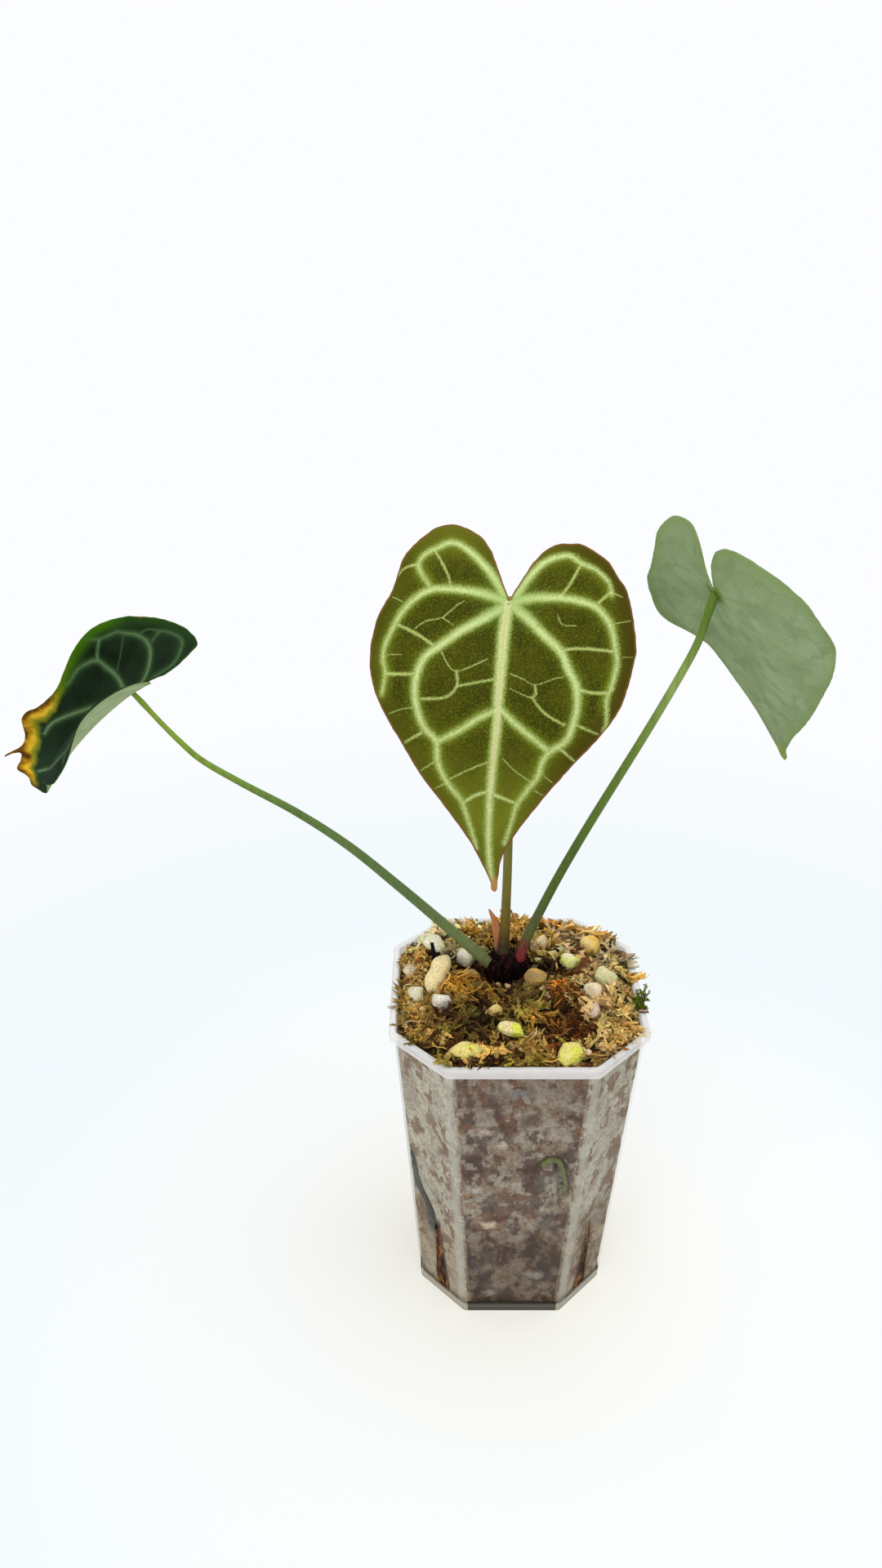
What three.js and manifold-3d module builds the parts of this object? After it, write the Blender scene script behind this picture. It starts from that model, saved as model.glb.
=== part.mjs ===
// A young potted anthurium hybrid in a clear square nursery pot: three velvet leaves on
// long petioles, a fibrous crown, and a heaped mix of long-fibre moss and pumice.
// Millimetres, +Z up. The origin is the middle of the pot's flat base, on the surface
// that the pot stands on. The pot's front panel faces -Y.

import * as THREE from 'three';
import { mergeVertices } from 'three/addons/utils/BufferGeometryUtils.js';
import Module from 'manifold-3d';

const wasm = await Module();
wasm.setup();

// Driving dimensions of the pot
const POT_HEIGHT = 107;
const POT_BASE_WIDTH = 58.5;
const POT_BASE_CUT = 14; // leg of the cut corner at the base
const POT_RIM_WIDTH = 72.5; // outside of the wall under the lip
const POT_RIM_CUT = 15.5;
const POT_WALL = 0.9;
const POT_FLOOR = 1.5;
const LIP_HEIGHT = 3.8;
const LIP_REACH = 1.3;
const SLOT_WIDTH = 4;
const SLOT_BOTTOM = 3;
const SLOT_TOP = 33;
const DRAIN_RADIUS = 3;
const DRAIN_OFFSET = 13;

// Driving dimensions of the plant
const BLADE_THICKNESS = 0.8;
const BLADE_CREASE = 2.5; // half width of the soft fold along a midrib
const MARGIN_WAVE = 0.5;
const CROWN = { x: -2.6, y: 10, z: 104 };
const CROWN_RADII = [6, 5.4, 8.5];

// Driving dimensions of the mix
const SOIL_EDGE_HEIGHT = 105; // at the wall
const SOIL_HEAP_HEIGHT = 107.8; // in the middle of the heap
const SOIL_BACK_RISE = 1.6; // the heap is higher behind the crown
const SOIL_CLEARANCE = 0.8; // between the mix and the wall
const CROWN_DIP = 3; // the surface sinks round the crown
const STRAND_RADIUS = 0.65;
const STRAND_COUNT = 44;
const GAP = 0.3; // clearance between touching pieces

const Z_AXIS = new THREE.Vector3(0, 0, 1);

function vec(x, y, z) {
  return new THREE.Vector3(x, y, z);
}

// Seeded random numbers, so that the moss lies the same way each time
function seededRandom(seed) {
  let state = seed;
  return () => {
    state = (state + 0x6d2b79f5) | 0;
    let t = Math.imul(state ^ (state >>> 15), 1 | state);
    t = (t + Math.imul(t ^ (t >>> 7), 61 | t)) ^ t;
    return ((t ^ (t >>> 14)) >>> 0) / 4294967296;
  };
}

function between(random, low, high) {
  return low + (high - low) * random();
}

// Solids and meshes

function toSolid(geometry) {
  const bare = new THREE.BufferGeometry();
  bare.setAttribute('position', geometry.getAttribute('position'));
  if (geometry.index) {
    bare.setIndex(geometry.index);
  }
  const merged = mergeVertices(bare, 1e-4);
  return new wasm.Manifold(
    new wasm.Mesh({
      numProp: 3,
      vertProperties: new Float32Array(merged.getAttribute('position').array),
      triVerts: new Uint32Array(merged.index.array),
    })
  );
}

function toGeometry(solid) {
  const mesh = solid.getMesh();
  const geometry = new THREE.BufferGeometry();
  geometry.setAttribute('position', new THREE.BufferAttribute(mesh.vertProperties, 3));
  geometry.setIndex(new THREE.BufferAttribute(mesh.triVerts, 1));
  return geometry;
}

// The largest body of a solid: loose scraps that a cut leaves behind are dropped
function largestBody(solid) {
  const bodies = solid.decompose();
  return bodies.reduce((best, body) => (body.volume() > best.volume() ? body : best));
}

function carve(solid, obstacles) {
  let carved = solid;
  for (const obstacle of obstacles) {
    carved = carved.subtract(obstacle);
  }
  return largestBody(carved);
}

function joinAll(solids) {
  return solids.reduce((whole, next) => whole.add(next));
}

// A closed skin over rings of points that all run the same way round
function loft(rings) {
  const count = rings[0].length;
  const positions = rings.flat().flatMap((point) => point.toArray());
  const faces = [];
  for (let ring = 0; ring < rings.length - 1; ring += 1) {
    for (let i = 0; i < count; i += 1) {
      const a = ring * count + i;
      const b = ring * count + ((i + 1) % count);
      faces.push(a, b, b + count, a, b + count, a + count);
    }
  }
  const last = (rings.length - 1) * count;
  for (let i = 1; i < count - 1; i += 1) {
    faces.push(0, i + 1, i);
    faces.push(last, last + i, last + i + 1);
  }
  const geometry = new THREE.BufferGeometry();
  geometry.setAttribute('position', new THREE.Float32BufferAttribute(positions, 3));
  geometry.setIndex(faces);
  return geometry;
}

// A round stem along a curve whose radius runs from `start` to `end`
function stem(points, start, end, sides, steps) {
  const curve = new THREE.CatmullRomCurve3(points, false, 'centripetal');
  const frames = curve.computeFrenetFrames(steps, false);
  const rings = [];
  for (let step = 0; step <= steps; step += 1) {
    const centre = curve.getPointAt(step / steps);
    const radius = THREE.MathUtils.lerp(start, end, step / steps);
    const ring = [];
    for (let side = 0; side < sides; side += 1) {
      const angle = (side / sides) * Math.PI * 2;
      ring.push(
        centre
          .clone()
          .addScaledVector(frames.normals[step], radius * Math.cos(angle))
          .addScaledVector(frames.binormals[step], radius * Math.sin(angle))
      );
    }
    rings.push(ring);
  }
  return toSolid(loft(rings));
}

// A lumpy pebble: a ball of triangles, stretched and dented by two slow waves
function pebble(centre, radii, turn, grow) {
  const geometry = new THREE.IcosahedronGeometry(1, 1);
  const position = geometry.getAttribute('position');
  const point = new THREE.Vector3();
  const tilt = new THREE.Euler(turn * 0.6, turn * 0.9, turn);
  for (let i = 0; i < position.count; i += 1) {
    point.fromBufferAttribute(position, i);
    const dent = 1 + 0.1 * Math.sin(4 * point.x + turn * 5) + 0.08 * Math.cos(5 * point.y - turn);
    point.multiplyScalar(dent);
    point.set(
      point.x * (radii[0] + grow),
      point.y * (radii[1] + grow),
      point.z * (radii[2] + grow)
    );
    point.applyEuler(tilt).add(centre);
    position.setXYZ(i, point.x, point.y, point.z);
  }
  return toSolid(geometry);
}

const group = new THREE.Group();

function addPiece(name, geometry, material) {
  const mesh = new THREE.Mesh(geometry, material);
  mesh.name = name;
  group.add(mesh);
}

// Pot

// Corner points of a square with cut corners, anticlockwise seen from above
function octagon(width, cut, z) {
  const half = width / 2;
  const inner = half - cut;
  return [
    vec(-inner, -half, z),
    vec(inner, -half, z),
    vec(half, -inner, z),
    vec(half, inner, z),
    vec(inner, half, z),
    vec(-inner, half, z),
    vec(-half, inner, z),
    vec(-half, -inner, z),
  ];
}

// The outside of the wall at a height, moved in by `inset`. A cut corner keeps its
// distance to the flat sides when its leg shrinks by (2 - sqrt 2) times the inset.
function wallOutline(z, inset) {
  const rise = z / (POT_HEIGHT - LIP_HEIGHT);
  const width = THREE.MathUtils.lerp(POT_BASE_WIDTH, POT_RIM_WIDTH, rise);
  const cut = THREE.MathUtils.lerp(POT_BASE_CUT, POT_RIM_CUT, rise);
  return octagon(width - 2 * inset, cut - (2 - Math.SQRT2) * inset, z);
}

function potSolid() {
  const lipBottom = POT_HEIGHT - LIP_HEIGHT;
  const lipWidth = POT_RIM_WIDTH + 2 * LIP_REACH;
  const lipCut = POT_RIM_CUT + (2 - Math.SQRT2) * LIP_REACH;
  const shell = toSolid(
    loft([
      wallOutline(0, 0),
      wallOutline(lipBottom, 0),
      octagon(lipWidth, lipCut, lipBottom),
      octagon(lipWidth, lipCut, POT_HEIGHT),
      wallOutline(POT_HEIGHT, POT_WALL),
      wallOutline(POT_FLOOR, POT_WALL),
    ])
  );
  const cutters = [];
  for (let corner = 0; corner < 4; corner += 1) {
    const angle = Math.PI / 4 + (corner * Math.PI) / 2;
    const slot = new THREE.BoxGeometry(POT_BASE_WIDTH / 2, SLOT_WIDTH, SLOT_TOP - SLOT_BOTTOM);
    slot.translate(POT_BASE_WIDTH / 2 + 2, 0, (SLOT_TOP + SLOT_BOTTOM) / 2);
    slot.rotateZ(angle);
    cutters.push(toSolid(slot));
    const drain = new THREE.CylinderGeometry(DRAIN_RADIUS, DRAIN_RADIUS, 4 * POT_FLOOR, 12);
    drain.rotateX(Math.PI / 2);
    drain.translate(Math.cos(angle) * DRAIN_OFFSET, Math.sin(angle) * DRAIN_OFFSET, 0);
    cutters.push(toSolid(drain));
  }
  return carve(shell, cutters);
}

// Leaf blades

// The outlines are given for each half, from the end of the sinus edge round the lobe
// to the tip, as [distance from the midrib, distance along it]. The joint with the
// petiole is at [0, 0], the tip lies at the end and the lobes have negative distances.
// The left half is the one on the left when the upper face is seen with the tip down.
const MIDDLE_LEAF = {
  joint: vec(-5.5, -3, 230.5),
  along: vec(-0.05, -0.63, -0.78), // towards the tip, at the joint
  up: vec(-0.06, -0.78, 0.63), // out of the upper face, at the joint
  droop: 0.006, // turn per millimetre towards the tip
  lobeDroop: 0.008,
  left: {
    fold: 0.1,
    curl: -0.008,
    twist: 0,
    margin: [
      [5, -13.4], [7.5, -17], [11.2, -19.5], [15.3, -20.8], [19.2, -20], [22.4, -17.6],
      [25.6, -14.3], [28, -10.7], [30.2, -2.1], [33.5, 5.4], [35.2, 14.2], [33.9, 22.9],
      [30.2, 30.7], [24.9, 39], [20.5, 45.6], [14.1, 53.4], [8, 61.4], [4.3, 67.9], [2, 72],
    ],
  },
  right: {
    fold: 0.1,
    curl: -0.008,
    twist: 0,
    margin: [
      [5.6, -10.1], [8.7, -13.7], [11.9, -15.6], [15.2, -15.9], [18.1, -15.8], [21.7, -13.8],
      [25.1, -11.2], [27.7, -7.1], [30.1, -2.7], [32.3, 9], [32.1, 15], [28.9, 26.9],
      [23.1, 35.4], [17, 42.3], [9.7, 51.3], [3.6, 60], [0.5, 66], [-0.4, 71.5],
    ],
  },
  tip: [1, 75],
  wavePhase: 0.5,
};

const LEFT_LEAF = {
  joint: vec(-106.5, 11, 200.5),
  along: vec(-0.75, 0.29, -0.59),
  up: vec(-0.65, -0.21, 0.73),
  droop: 0.006,
  lobeDroop: 0.035,
  left: {
    fold: -0.09,
    curl: 0.03,
    twist: 0.0014,
    margin: [
      [0.8, -9.7], [3.8, -12.7], [9, -15.3], [12.8, -16.4], [17.2, -13.5], [20.4, -9.4],
      [24.6, -1.2], [27.4, 5], [28.3, 12], [25.2, 20.4], [22.8, 26.2], [20.7, 32],
      [20.3, 36.9], [20.9, 41.1], [22.5, 43.2], [22.7, 46], [20.5, 49.4], [18.7, 52.8],
      [18.8, 56.6], [22.4, 59.6], [17.9, 58.4], [16.5, 61.6], [16.2, 65.3], [12.1, 67.3],
      [10.2, 69.6], [7.5, 68.7], [5.1, 67.2], [2.4, 63.8],
    ],
  },
  right: {
    fold: 0.95,
    curl: -0.032,
    twist: -0.0011,
    margin: [
      [3, -9], [6, -13], [10, -15.2], [14, -15], [18.5, -12.5], [22.5, -8.5], [25.5, -3],
      [27.5, 4], [28.3, 11], [28, 18], [26.5, 25], [24, 32], [21, 39], [17, 46],
      [12.5, 50], [7, 55.2], [3, 58.5],
    ],
  },
  tip: [0.6, 60],
  wavePhase: 2.1,
};

const RIGHT_LEAF = {
  joint: vec(46, -6, 233.5),
  along: vec(0.48, 0.35, -0.8),
  up: vec(0.67, 0.44, 0.59),
  droop: 0.0015,
  lobeDroop: -0.032,
  left: {
    fold: -0.33,
    curl: 0.032,
    twist: 0,
    margin: [
      [1.6, -9.5], [3, -12.6], [5, -14.6], [8.2, -15.7], [13.2, -15.3], [18.5, -13.3],
      [23.5, -9.6], [27.6, -3.3], [29.4, 3], [30.1, 10], [29.4, 17.5], [27.1, 24.4],
      [23.5, 30.6], [17.7, 40.6], [13, 47.5], [8.5, 53.5], [4, 60.5], [1.6, 65],
    ],
  },
  right: {
    fold: 0.58,
    curl: -0.032,
    twist: 0,
    margin: [
      [1.2, -10], [2, -13], [4.5, -16.2], [8.4, -17.9], [14.5, -17.6], [18, -15.2],
      [21.6, -10.6], [23.8, -4.6], [27.1, 2.2], [30.4, 7.2], [32.8, 13.5], [33, 20],
      [30.5, 25], [25, 30], [20.5, 34], [17.5, 40], [13.3, 47.5], [8.5, 54], [4, 60.5],
      [1.6, 65],
    ],
  },
  tip: [0, 69.5],
  wavePhase: 3.7,
};

// How far a bent section reaches across and up: its angle starts at zero on the midrib,
// takes on the fold within the crease, and then turns steadily with the curl
function bentSection(distance, fold, curl) {
  const steps = 24;
  const length = distance / steps;
  let across = 0;
  let lift = 0;
  for (let step = 0; step < steps; step += 1) {
    const middle = (step + 0.5) * length;
    const angle = fold * (1 - Math.exp(-middle / BLADE_CREASE)) + curl * middle;
    across += Math.cos(angle) * length;
    lift += Math.sin(angle) * length;
  }
  return [across, lift];
}

// The middle surface of a blade as a function of the flat leaf's coordinates, where
// `side` is positive on the left half
function bladeSurface(leaf) {
  const along = leaf.along.clone().normalize();
  const up = leaf.up.clone().addScaledVector(along, -leaf.up.dot(along)).normalize();
  const across = along.clone().cross(up);
  return (side, distance) => {
    const half = side >= 0 ? leaf.left : leaf.right;
    const width = Math.abs(side);
    const curl = half.curl + half.twist * distance;
    const [reach, lift] = bentSection(width, half.fold, curl);
    const wave = MARGIN_WAVE * (width / 30) ** 3 * Math.sin(distance * 0.28 + leaf.wavePhase);
    const height = lift + wave;
    const turn = distance >= 0 ? leaf.droop : leaf.lobeDroop;
    const angle = turn * distance;
    return leaf.joint
      .clone()
      .addScaledVector(across, reach * Math.sign(side))
      .addScaledVector(along, Math.sin(angle) / turn + height * Math.sin(angle))
      .addScaledVector(up, (Math.cos(angle) - 1) / turn + height * Math.cos(angle));
  };
}

function surfaceNormal(surface, side, distance) {
  const step = 0.05;
  const dSide = surface(side + step, distance).sub(surface(side - step, distance));
  const dDistance = surface(side, distance + step).sub(surface(side, distance - step));
  return dDistance.cross(dSide).normalize().negate();
}

// The whole margin from one sinus edge round the tip to the other, as flat points
function bladeMargin(leaf, pointsPerHalf) {
  const halfCurve = (half, sign) => {
    const points = [...half.margin.map(([side, distance]) => [side * sign, distance]), leaf.tip];
    const curve = new THREE.SplineCurve(points.map(([a, b]) => new THREE.Vector2(a, b)));
    return curve.getSpacedPoints(pointsPerHalf);
  };
  const left = halfCurve(leaf.left, 1);
  const right = halfCurve(leaf.right, -1).reverse();
  return [...left, ...right.slice(1)];
}

// A blade is one thin solid: rings of points spread from the joint to the margin, once
// on each face, with the same triangles above and below and a rim all the way round
function bladeSolid({ leaf, pointsPerHalf }, thickness) {
  const rings = 6;
  const surface = bladeSurface(leaf);
  const margin = bladeMargin(leaf, pointsPerHalf);
  const flat = [new THREE.Vector2(0, 0)];
  for (let ring = 1; ring <= rings; ring += 1) {
    margin.forEach((point) => flat.push(point.clone().multiplyScalar(ring / rings)));
  }
  const positions = [];
  for (const face of [1, -1]) {
    for (const { x, y } of flat) {
      const offset = surfaceNormal(surface, x, y).multiplyScalar((face * thickness) / 2);
      positions.push(...surface(x, y).add(offset).toArray());
    }
  }
  const count = margin.length;
  const at = (ring, i) => (ring === 0 ? 0 : 1 + (ring - 1) * count + i);
  const upper = [];
  for (let i = 0; i < count - 1; i += 1) {
    upper.push([0, at(1, i), at(1, i + 1)]);
    for (let ring = 1; ring < rings; ring += 1) {
      upper.push([at(ring, i), at(ring + 1, i), at(ring + 1, i + 1)]);
      upper.push([at(ring, i), at(ring + 1, i + 1), at(ring, i + 1)]);
    }
  }
  const rim = [];
  for (let ring = 0; ring <= rings; ring += 1) {
    rim.push(at(ring, 0));
  }
  for (let i = 1; i < count; i += 1) {
    rim.push(at(rings, i));
  }
  for (let ring = rings - 1; ring > 0; ring -= 1) {
    rim.push(at(ring, count - 1));
  }
  const below = flat.length;
  const faces = upper.flat();
  upper.forEach(([a, b, c]) => faces.push(a + below, c + below, b + below));
  rim.forEach((a, i) => {
    const b = rim[(i + 1) % rim.length];
    faces.push(b, a, a + below, b, a + below, b + below);
  });
  const geometry = new THREE.BufferGeometry();
  geometry.setAttribute('position', new THREE.Float32BufferAttribute(positions, 3));
  geometry.setIndex(faces);
  return toSolid(geometry);
}

// Petioles

// Each route runs from the crown to the joint under its blade
const MIDDLE_ROUTE = [
  vec(-2.6, 11.5, 105),
  vec(-2.8, 11, 120),
  vec(-2.9, 10.4, 130),
  vec(-3.1, 9.2, 147),
  vec(-3.5, 7.6, 180),
  vec(-4.4, 4.6, 210),
  vec(-5, 0.8, 225),
  MIDDLE_LEAF.joint,
];
const LEFT_ROUTE = [
  vec(-6.4, 8.6, 108),
  vec(-12.7, 8.8, 114.5),
  vec(-21.7, 9.1, 123.6),
  vec(-35.8, 9.4, 137.6),
  vec(-49.8, 9.7, 150.8),
  vec(-64.5, 10, 161.9),
  vec(-79.8, 10.3, 171.2),
  vec(-93.9, 10.6, 181.5),
  vec(-99.6, 10.8, 188),
  vec(-105.1, 10.9, 194.5),
  LEFT_LEAF.joint,
];
const RIGHT_ROUTE = [
  vec(1.2, 10.2, 108),
  vec(3.4, 9.6, 118),
  vec(10.7, 7.2, 139),
  vec(18, 4.9, 157.3),
  vec(25.3, 2.6, 174.4),
  vec(32.2, 0.3, 190.5),
  vec(38.5, -2, 206),
  vec(43.2, -4, 219),
  vec(45, -5.4, 228.5),
  RIGHT_LEAF.joint,
];
const PETIOLES = {
  middle: { route: MIDDLE_ROUTE, base: 1.45, top: 1.2, steps: 16 },
  left: { route: LEFT_ROUTE, base: 1.6, top: 0.95, steps: 24 },
  right: { route: RIGHT_ROUTE, base: 1.45, top: 1, steps: 18 },
};

function petioleSolid({ route, base, top, steps }, grow) {
  return stem(route, base + grow, top + grow, 8, steps);
}

// Crown and cataphyll

// The crown is a dark ball of old leaf bases and fibre, ribbed from top to bottom
function crownSolid(grow) {
  const geometry = new THREE.SphereGeometry(1, 16, 10);
  const position = geometry.getAttribute('position');
  const point = new THREE.Vector3();
  for (let i = 0; i < position.count; i += 1) {
    point.fromBufferAttribute(position, i);
    point.set(point.x, -point.z, point.y);
    const around = Math.atan2(point.y, point.x);
    const rib = 1 + 0.12 * Math.cos(8 * around) * (1 - point.z * point.z);
    position.setXYZ(
      i,
      CROWN.x + point.x * rib * (CROWN_RADII[0] + grow),
      CROWN.y + point.y * rib * (CROWN_RADII[1] + grow),
      CROWN.z + point.z * (CROWN_RADII[2] + grow)
    );
  }
  return toSolid(geometry);
}

// A thin pointed sheath that stands left of the middle petiole, its hollow turned to it
function cataphyllSolid() {
  const steps = 9;
  const arcPoints = 6;
  const thickness = 0.7;
  const facing = -2.2; // heading of the rounded back
  const bottom = vec(-4, 13, 108);
  const tip = vec(-7.9, 12.9, 126.5);
  const rings = [];
  for (let step = 0; step <= steps; step += 1) {
    const rise = step / steps;
    const centre = bottom.clone().lerp(tip, rise);
    const radius = THREE.MathUtils.lerp(2.2, 0.6, rise ** 1.8);
    const halfArc = THREE.MathUtils.lerp(1.2, 0.7, rise);
    const ring = [];
    for (const [offset, direction] of [[thickness / 2, 1], [-thickness / 2, -1]]) {
      for (let i = 0; i < arcPoints; i += 1) {
        const share = i / (arcPoints - 1) - 0.5;
        const angle = facing + direction * share * 2 * halfArc;
        const reach = radius + offset;
        const x = centre.x + Math.cos(angle) * reach;
        ring.push(vec(x, centre.y + Math.sin(angle) * reach, centre.z));
      }
    }
    rings.push(ring);
  }
  return toSolid(loft(rings));
}

// Mix in the pot

// Large pumice grains bedded in the top, as [x, y, z, half sizes, turn]
const GRAINS = [
  [-24, 4, 109.5, [3.6, 5.2, 3.4], 0.5],
  [-25.5, 21, 108.6, [4.6, 3.8, 3.2], 2.1],
  [-15, 12.5, 108.6, [3, 3, 2.8], 0.8],
  [-14, 4.5, 107.4, [2.8, 3, 2.4], 1.7],
  [-22.5, -8.5, 107.8, [3.2, 3.4, 2.8], 2.6],
  [-30, -2.5, 107, [2.6, 2.8, 2.3], 0.2],
  [-30.3, 10, 107, [2.4, 2.6, 2.2], 1.2],
  [-15, -28.5, 105.9, [5, 3.2, 3], 0.15],
  [-2, -22, 107.4, [3.4, 2.7, 2.4], 2.7],
  [13, -28.5, 106.2, [3.6, 3.3, 3.1], 1.1],
  [22.5, -5.5, 109, [2.5, 3.4, 3.6], 0.4],
  [21.5, -13.5, 107.6, [2.2, 3.4, 3], 2.9],
  [27.5, 2.5, 108.6, [3, 3.8, 3.2], 1.5],
  [17.5, 9.5, 109.2, [2.8, 3.8, 3.2], 2.2],
  [24.5, 20, 108.8, [3.5, 3, 2.7], 0.7],
  [8.5, 20, 108.8, [2.2, 3, 3.2], 1.9],
  [8.5, 1.5, 107.6, [3, 3.6, 2.8], 0.9],
  [-7.5, -13.5, 107.8, [2, 3.2, 3], 2.4],
];

function grainSolid([x, y, z, radii, turn], grow) {
  return pebble(vec(x, y, z), radii, turn, grow);
}

// Height of the heaped surface: it falls from the middle to the wall, with slow lumps
function soilHeight(x, y) {
  const wall = POT_RIM_WIDTH / 2 - POT_WALL;
  const out = Math.min(1, Math.hypot(x, y) / wall);
  const heap = THREE.MathUtils.lerp(SOIL_HEAP_HEIGHT, SOIL_EDGE_HEIGHT, out ** 2.5);
  const back = SOIL_BACK_RISE * THREE.MathUtils.smoothstep(y, 8, 26);
  const lumps = Math.sin(x * 0.42 + 1.3) * Math.cos(y * 0.37 - 0.6) + Math.sin((x + y) * 0.21);
  const fade = 1 - out ** 6;
  const fromCrown = Math.hypot(x - CROWN.x, y - CROWN.y) / CROWN_RADII[2];
  return heap + (back + 0.9 * lumps) * fade - CROWN_DIP * Math.exp(-(fromCrown ** 2));
}

// Points evenly spread along the sides of an outline, corners kept
function spread(outline, perSide) {
  return outline.flatMap((corner, i) => {
    const next = outline[(i + 1) % outline.length];
    return Array.from({ length: perSide }, (_, k) => corner.clone().lerp(next, k / perSide));
  });
}

function soilBulk() {
  const inset = POT_WALL + SOIL_CLEARANCE;
  const perSide = 5;
  const topRings = 8;
  const rings = [spread(wallOutline(POT_FLOOR + GAP, inset), perSide)];
  const edge = spread(wallOutline(SOIL_EDGE_HEIGHT - 1, inset), perSide);
  rings.push(edge);
  for (let ring = 1; ring <= topRings; ring += 1) {
    const share = 1 - (ring / (topRings + 1)) ** 1.1;
    rings.push(
      edge.map((point) => {
        const x = point.x * share;
        const y = point.y * share;
        return vec(x, y, soilHeight(x, y));
      })
    );
  }
  return toSolid(loft(rings));
}

// One strand of moss from a start to an end point on the ground: it arches up to
// `height` above the surface, and both ends lie `rest` above it, or below if negative
function strand({ x, y, heading, length, height, rest }, grow) {
  const onGround = (share, sway, lift) => {
    const px = x + (Math.cos(heading) * share - Math.sin(heading) * sway) * length;
    const py = y + (Math.sin(heading) * share + Math.cos(heading) * sway) * length;
    return vec(px, py, soilHeight(px, py) + lift);
  };
  const points = [
    onGround(0, 0, rest),
    onGround(0.3, 0.12, height),
    onGround(0.7, 0.05, height * 0.9),
    onGround(1, 0, rest),
  ];
  return stem(points, STRAND_RADIUS + grow, (STRAND_RADIUS + grow) * 0.8, 4, 4);
}

function nearAny(x, y, spots) {
  return spots.some(([spotX, spotY, reach]) => Math.hypot(x - spotX, y - spotY) < reach);
}

// Strands sunk into the heap at both ends, kept off the wall, crown, grains and tufts
function soilStrands() {
  const random = seededRandom(11);
  const taken = [
    [CROWN.x, CROWN.y, 8],
    [SPRIG_ROOT.x, SPRIG_ROOT.y, 7],
    ...GRAINS.map(([x, y, , radii]) => [x, y, radii[0] + 1.2]),
    ...Object.values(TUFTS).map(({ x, y, heading, reach }) => [
      x + Math.cos(heading) * reach * 0.6,
      y + Math.sin(heading) * reach * 0.6,
      reach * 0.7,
    ]),
  ];
  const half = POT_RIM_WIDTH / 2 - 4;
  const cornerReach = POT_RIM_WIDTH - POT_RIM_CUT - 7;
  const open = (x, y) =>
    Math.max(Math.abs(x), Math.abs(y)) < half &&
    Math.abs(x) + Math.abs(y) < cornerReach &&
    !nearAny(x, y, taken);
  const strands = [];
  while (strands.length < STRAND_COUNT) {
    const x = between(random, -half, half);
    const y = between(random, -half, half);
    const heading = between(random, 0, Math.PI * 2);
    const length = between(random, 6, 11);
    const height = between(random, 0.9, 2.2);
    const clear = [0, 0.5, 1].every((share) =>
      open(x + Math.cos(heading) * length * share, y + Math.sin(heading) * length * share)
    );
    if (clear) {
      strands.push(strand({ x, y, heading, length, height, rest: -2 }, 0));
    }
  }
  return strands;
}

// Tufts of one colour: strands that fan out from a knot bedded in the heap
const TUFTS = {
  moss_tuft_golden: { x: -18, y: -1.5, heading: -0.75, fan: 1.7, reach: 9, count: 8, seed: 3 },
  moss_tuft_olive: { x: 1.5, y: -12, heading: -0.9, fan: 1.2, reach: 10, count: 6, seed: 5 },
  moss_tuft_rust: { x: 15.5, y: -4, heading: -1.75, fan: 1.5, reach: 11, count: 8, seed: 8 },
};

function tuftKnot({ x, y, heading }, grow) {
  return pebble(vec(x, y, soilHeight(x, y) + 0.4), [2.3, 2.3, 1.8], heading, grow);
}

function tuftSolid(tuft) {
  const random = seededRandom(tuft.seed);
  const solids = [tuftKnot(tuft, 0)];
  for (let i = 0; i < tuft.count; i += 1) {
    const heading = tuft.heading + tuft.fan * (i / (tuft.count - 1) - 0.5);
    const length = tuft.reach * between(random, 0.75, 1.1);
    const height = between(random, 1.6, 3.4);
    const rest = STRAND_RADIUS + GAP;
    solids.push(strand({ x: tuft.x, y: tuft.y, heading, length, height, rest }, 0));
  }
  return joinAll(solids);
}

// Roots, stub, twig and living sprig

const ROOT_ROUTES = {
  root_dark: {
    points: [
      vec(-30.4, -15.6, 57), vec(-30, -15.8, 50), vec(-29.4, -16.4, 42.5),
      vec(-28, -17.4, 38), vec(-26.4, -18.4, 33.5), vec(-25, -19.4, 27),
    ],
    start: 1.4,
    end: 0.7,
  },
  root_green: {
    points: [
      vec(4.8, -31.7, 71.5), vec(7.8, -31.9, 73.2), vec(10.8, -31.7, 70.7),
      vec(13.1, -31.3, 65.1), vec(14.3, -30.9, 59.1), vec(15.2, -30.4, 53),
    ],
    start: 0.9,
    end: 0.7,
  },
};
const STUB_ROUTE = [vec(-25.2, 13.2, 104.5), vec(-25, 13.2, 109), vec(-25.6, 13, 114)];
const TWIG_ROUTE = [
  vec(15, 12.5, 106.5),
  vec(13.6, 9, 111.6),
  vec(11, 3.2, 111.8),
  vec(7.2, -4, 107),
];

// Short leafy shoots that rise from a knot bedded at the right rim
const SPRIG_ROOT = vec(31.5, -9.5, 105.4);
const SPRIG_TIPS = [
  [4, 0.4, 5.4], [5.2, 2.4, 4.4], [5, -1.6, 4.6], [1.6, -2.6, 4.6], [0.8, 2.8, 4.4],
  [2.8, -3.8, 3.6],
];

function sprigKnot(grow) {
  return pebble(SPRIG_ROOT, [1.9, 2.2, 1.7], 0.4, grow);
}

function sprigSolid() {
  const shoots = SPRIG_TIPS.map(([x, y, z]) => {
    const bend = SPRIG_ROOT.clone().add(vec(x * 0.3, y * 0.6, z * 0.75));
    return stem([SPRIG_ROOT, bend, SPRIG_ROOT.clone().add(vec(x, y, z))], 0.8, 0.45, 5, 4);
  });
  return joinAll([sprigKnot(0), ...shoots]);
}

// Assembly: each piece is carved clear of the firmer pieces that it lies against

const LEAVES = {
  middle: { leaf: MIDDLE_LEAF, pointsPerHalf: 24 },
  left: { leaf: LEFT_LEAF, pointsPerHalf: 30 },
  right: { leaf: RIGHT_LEAF, pointsPerHalf: 24 },
};

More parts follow.
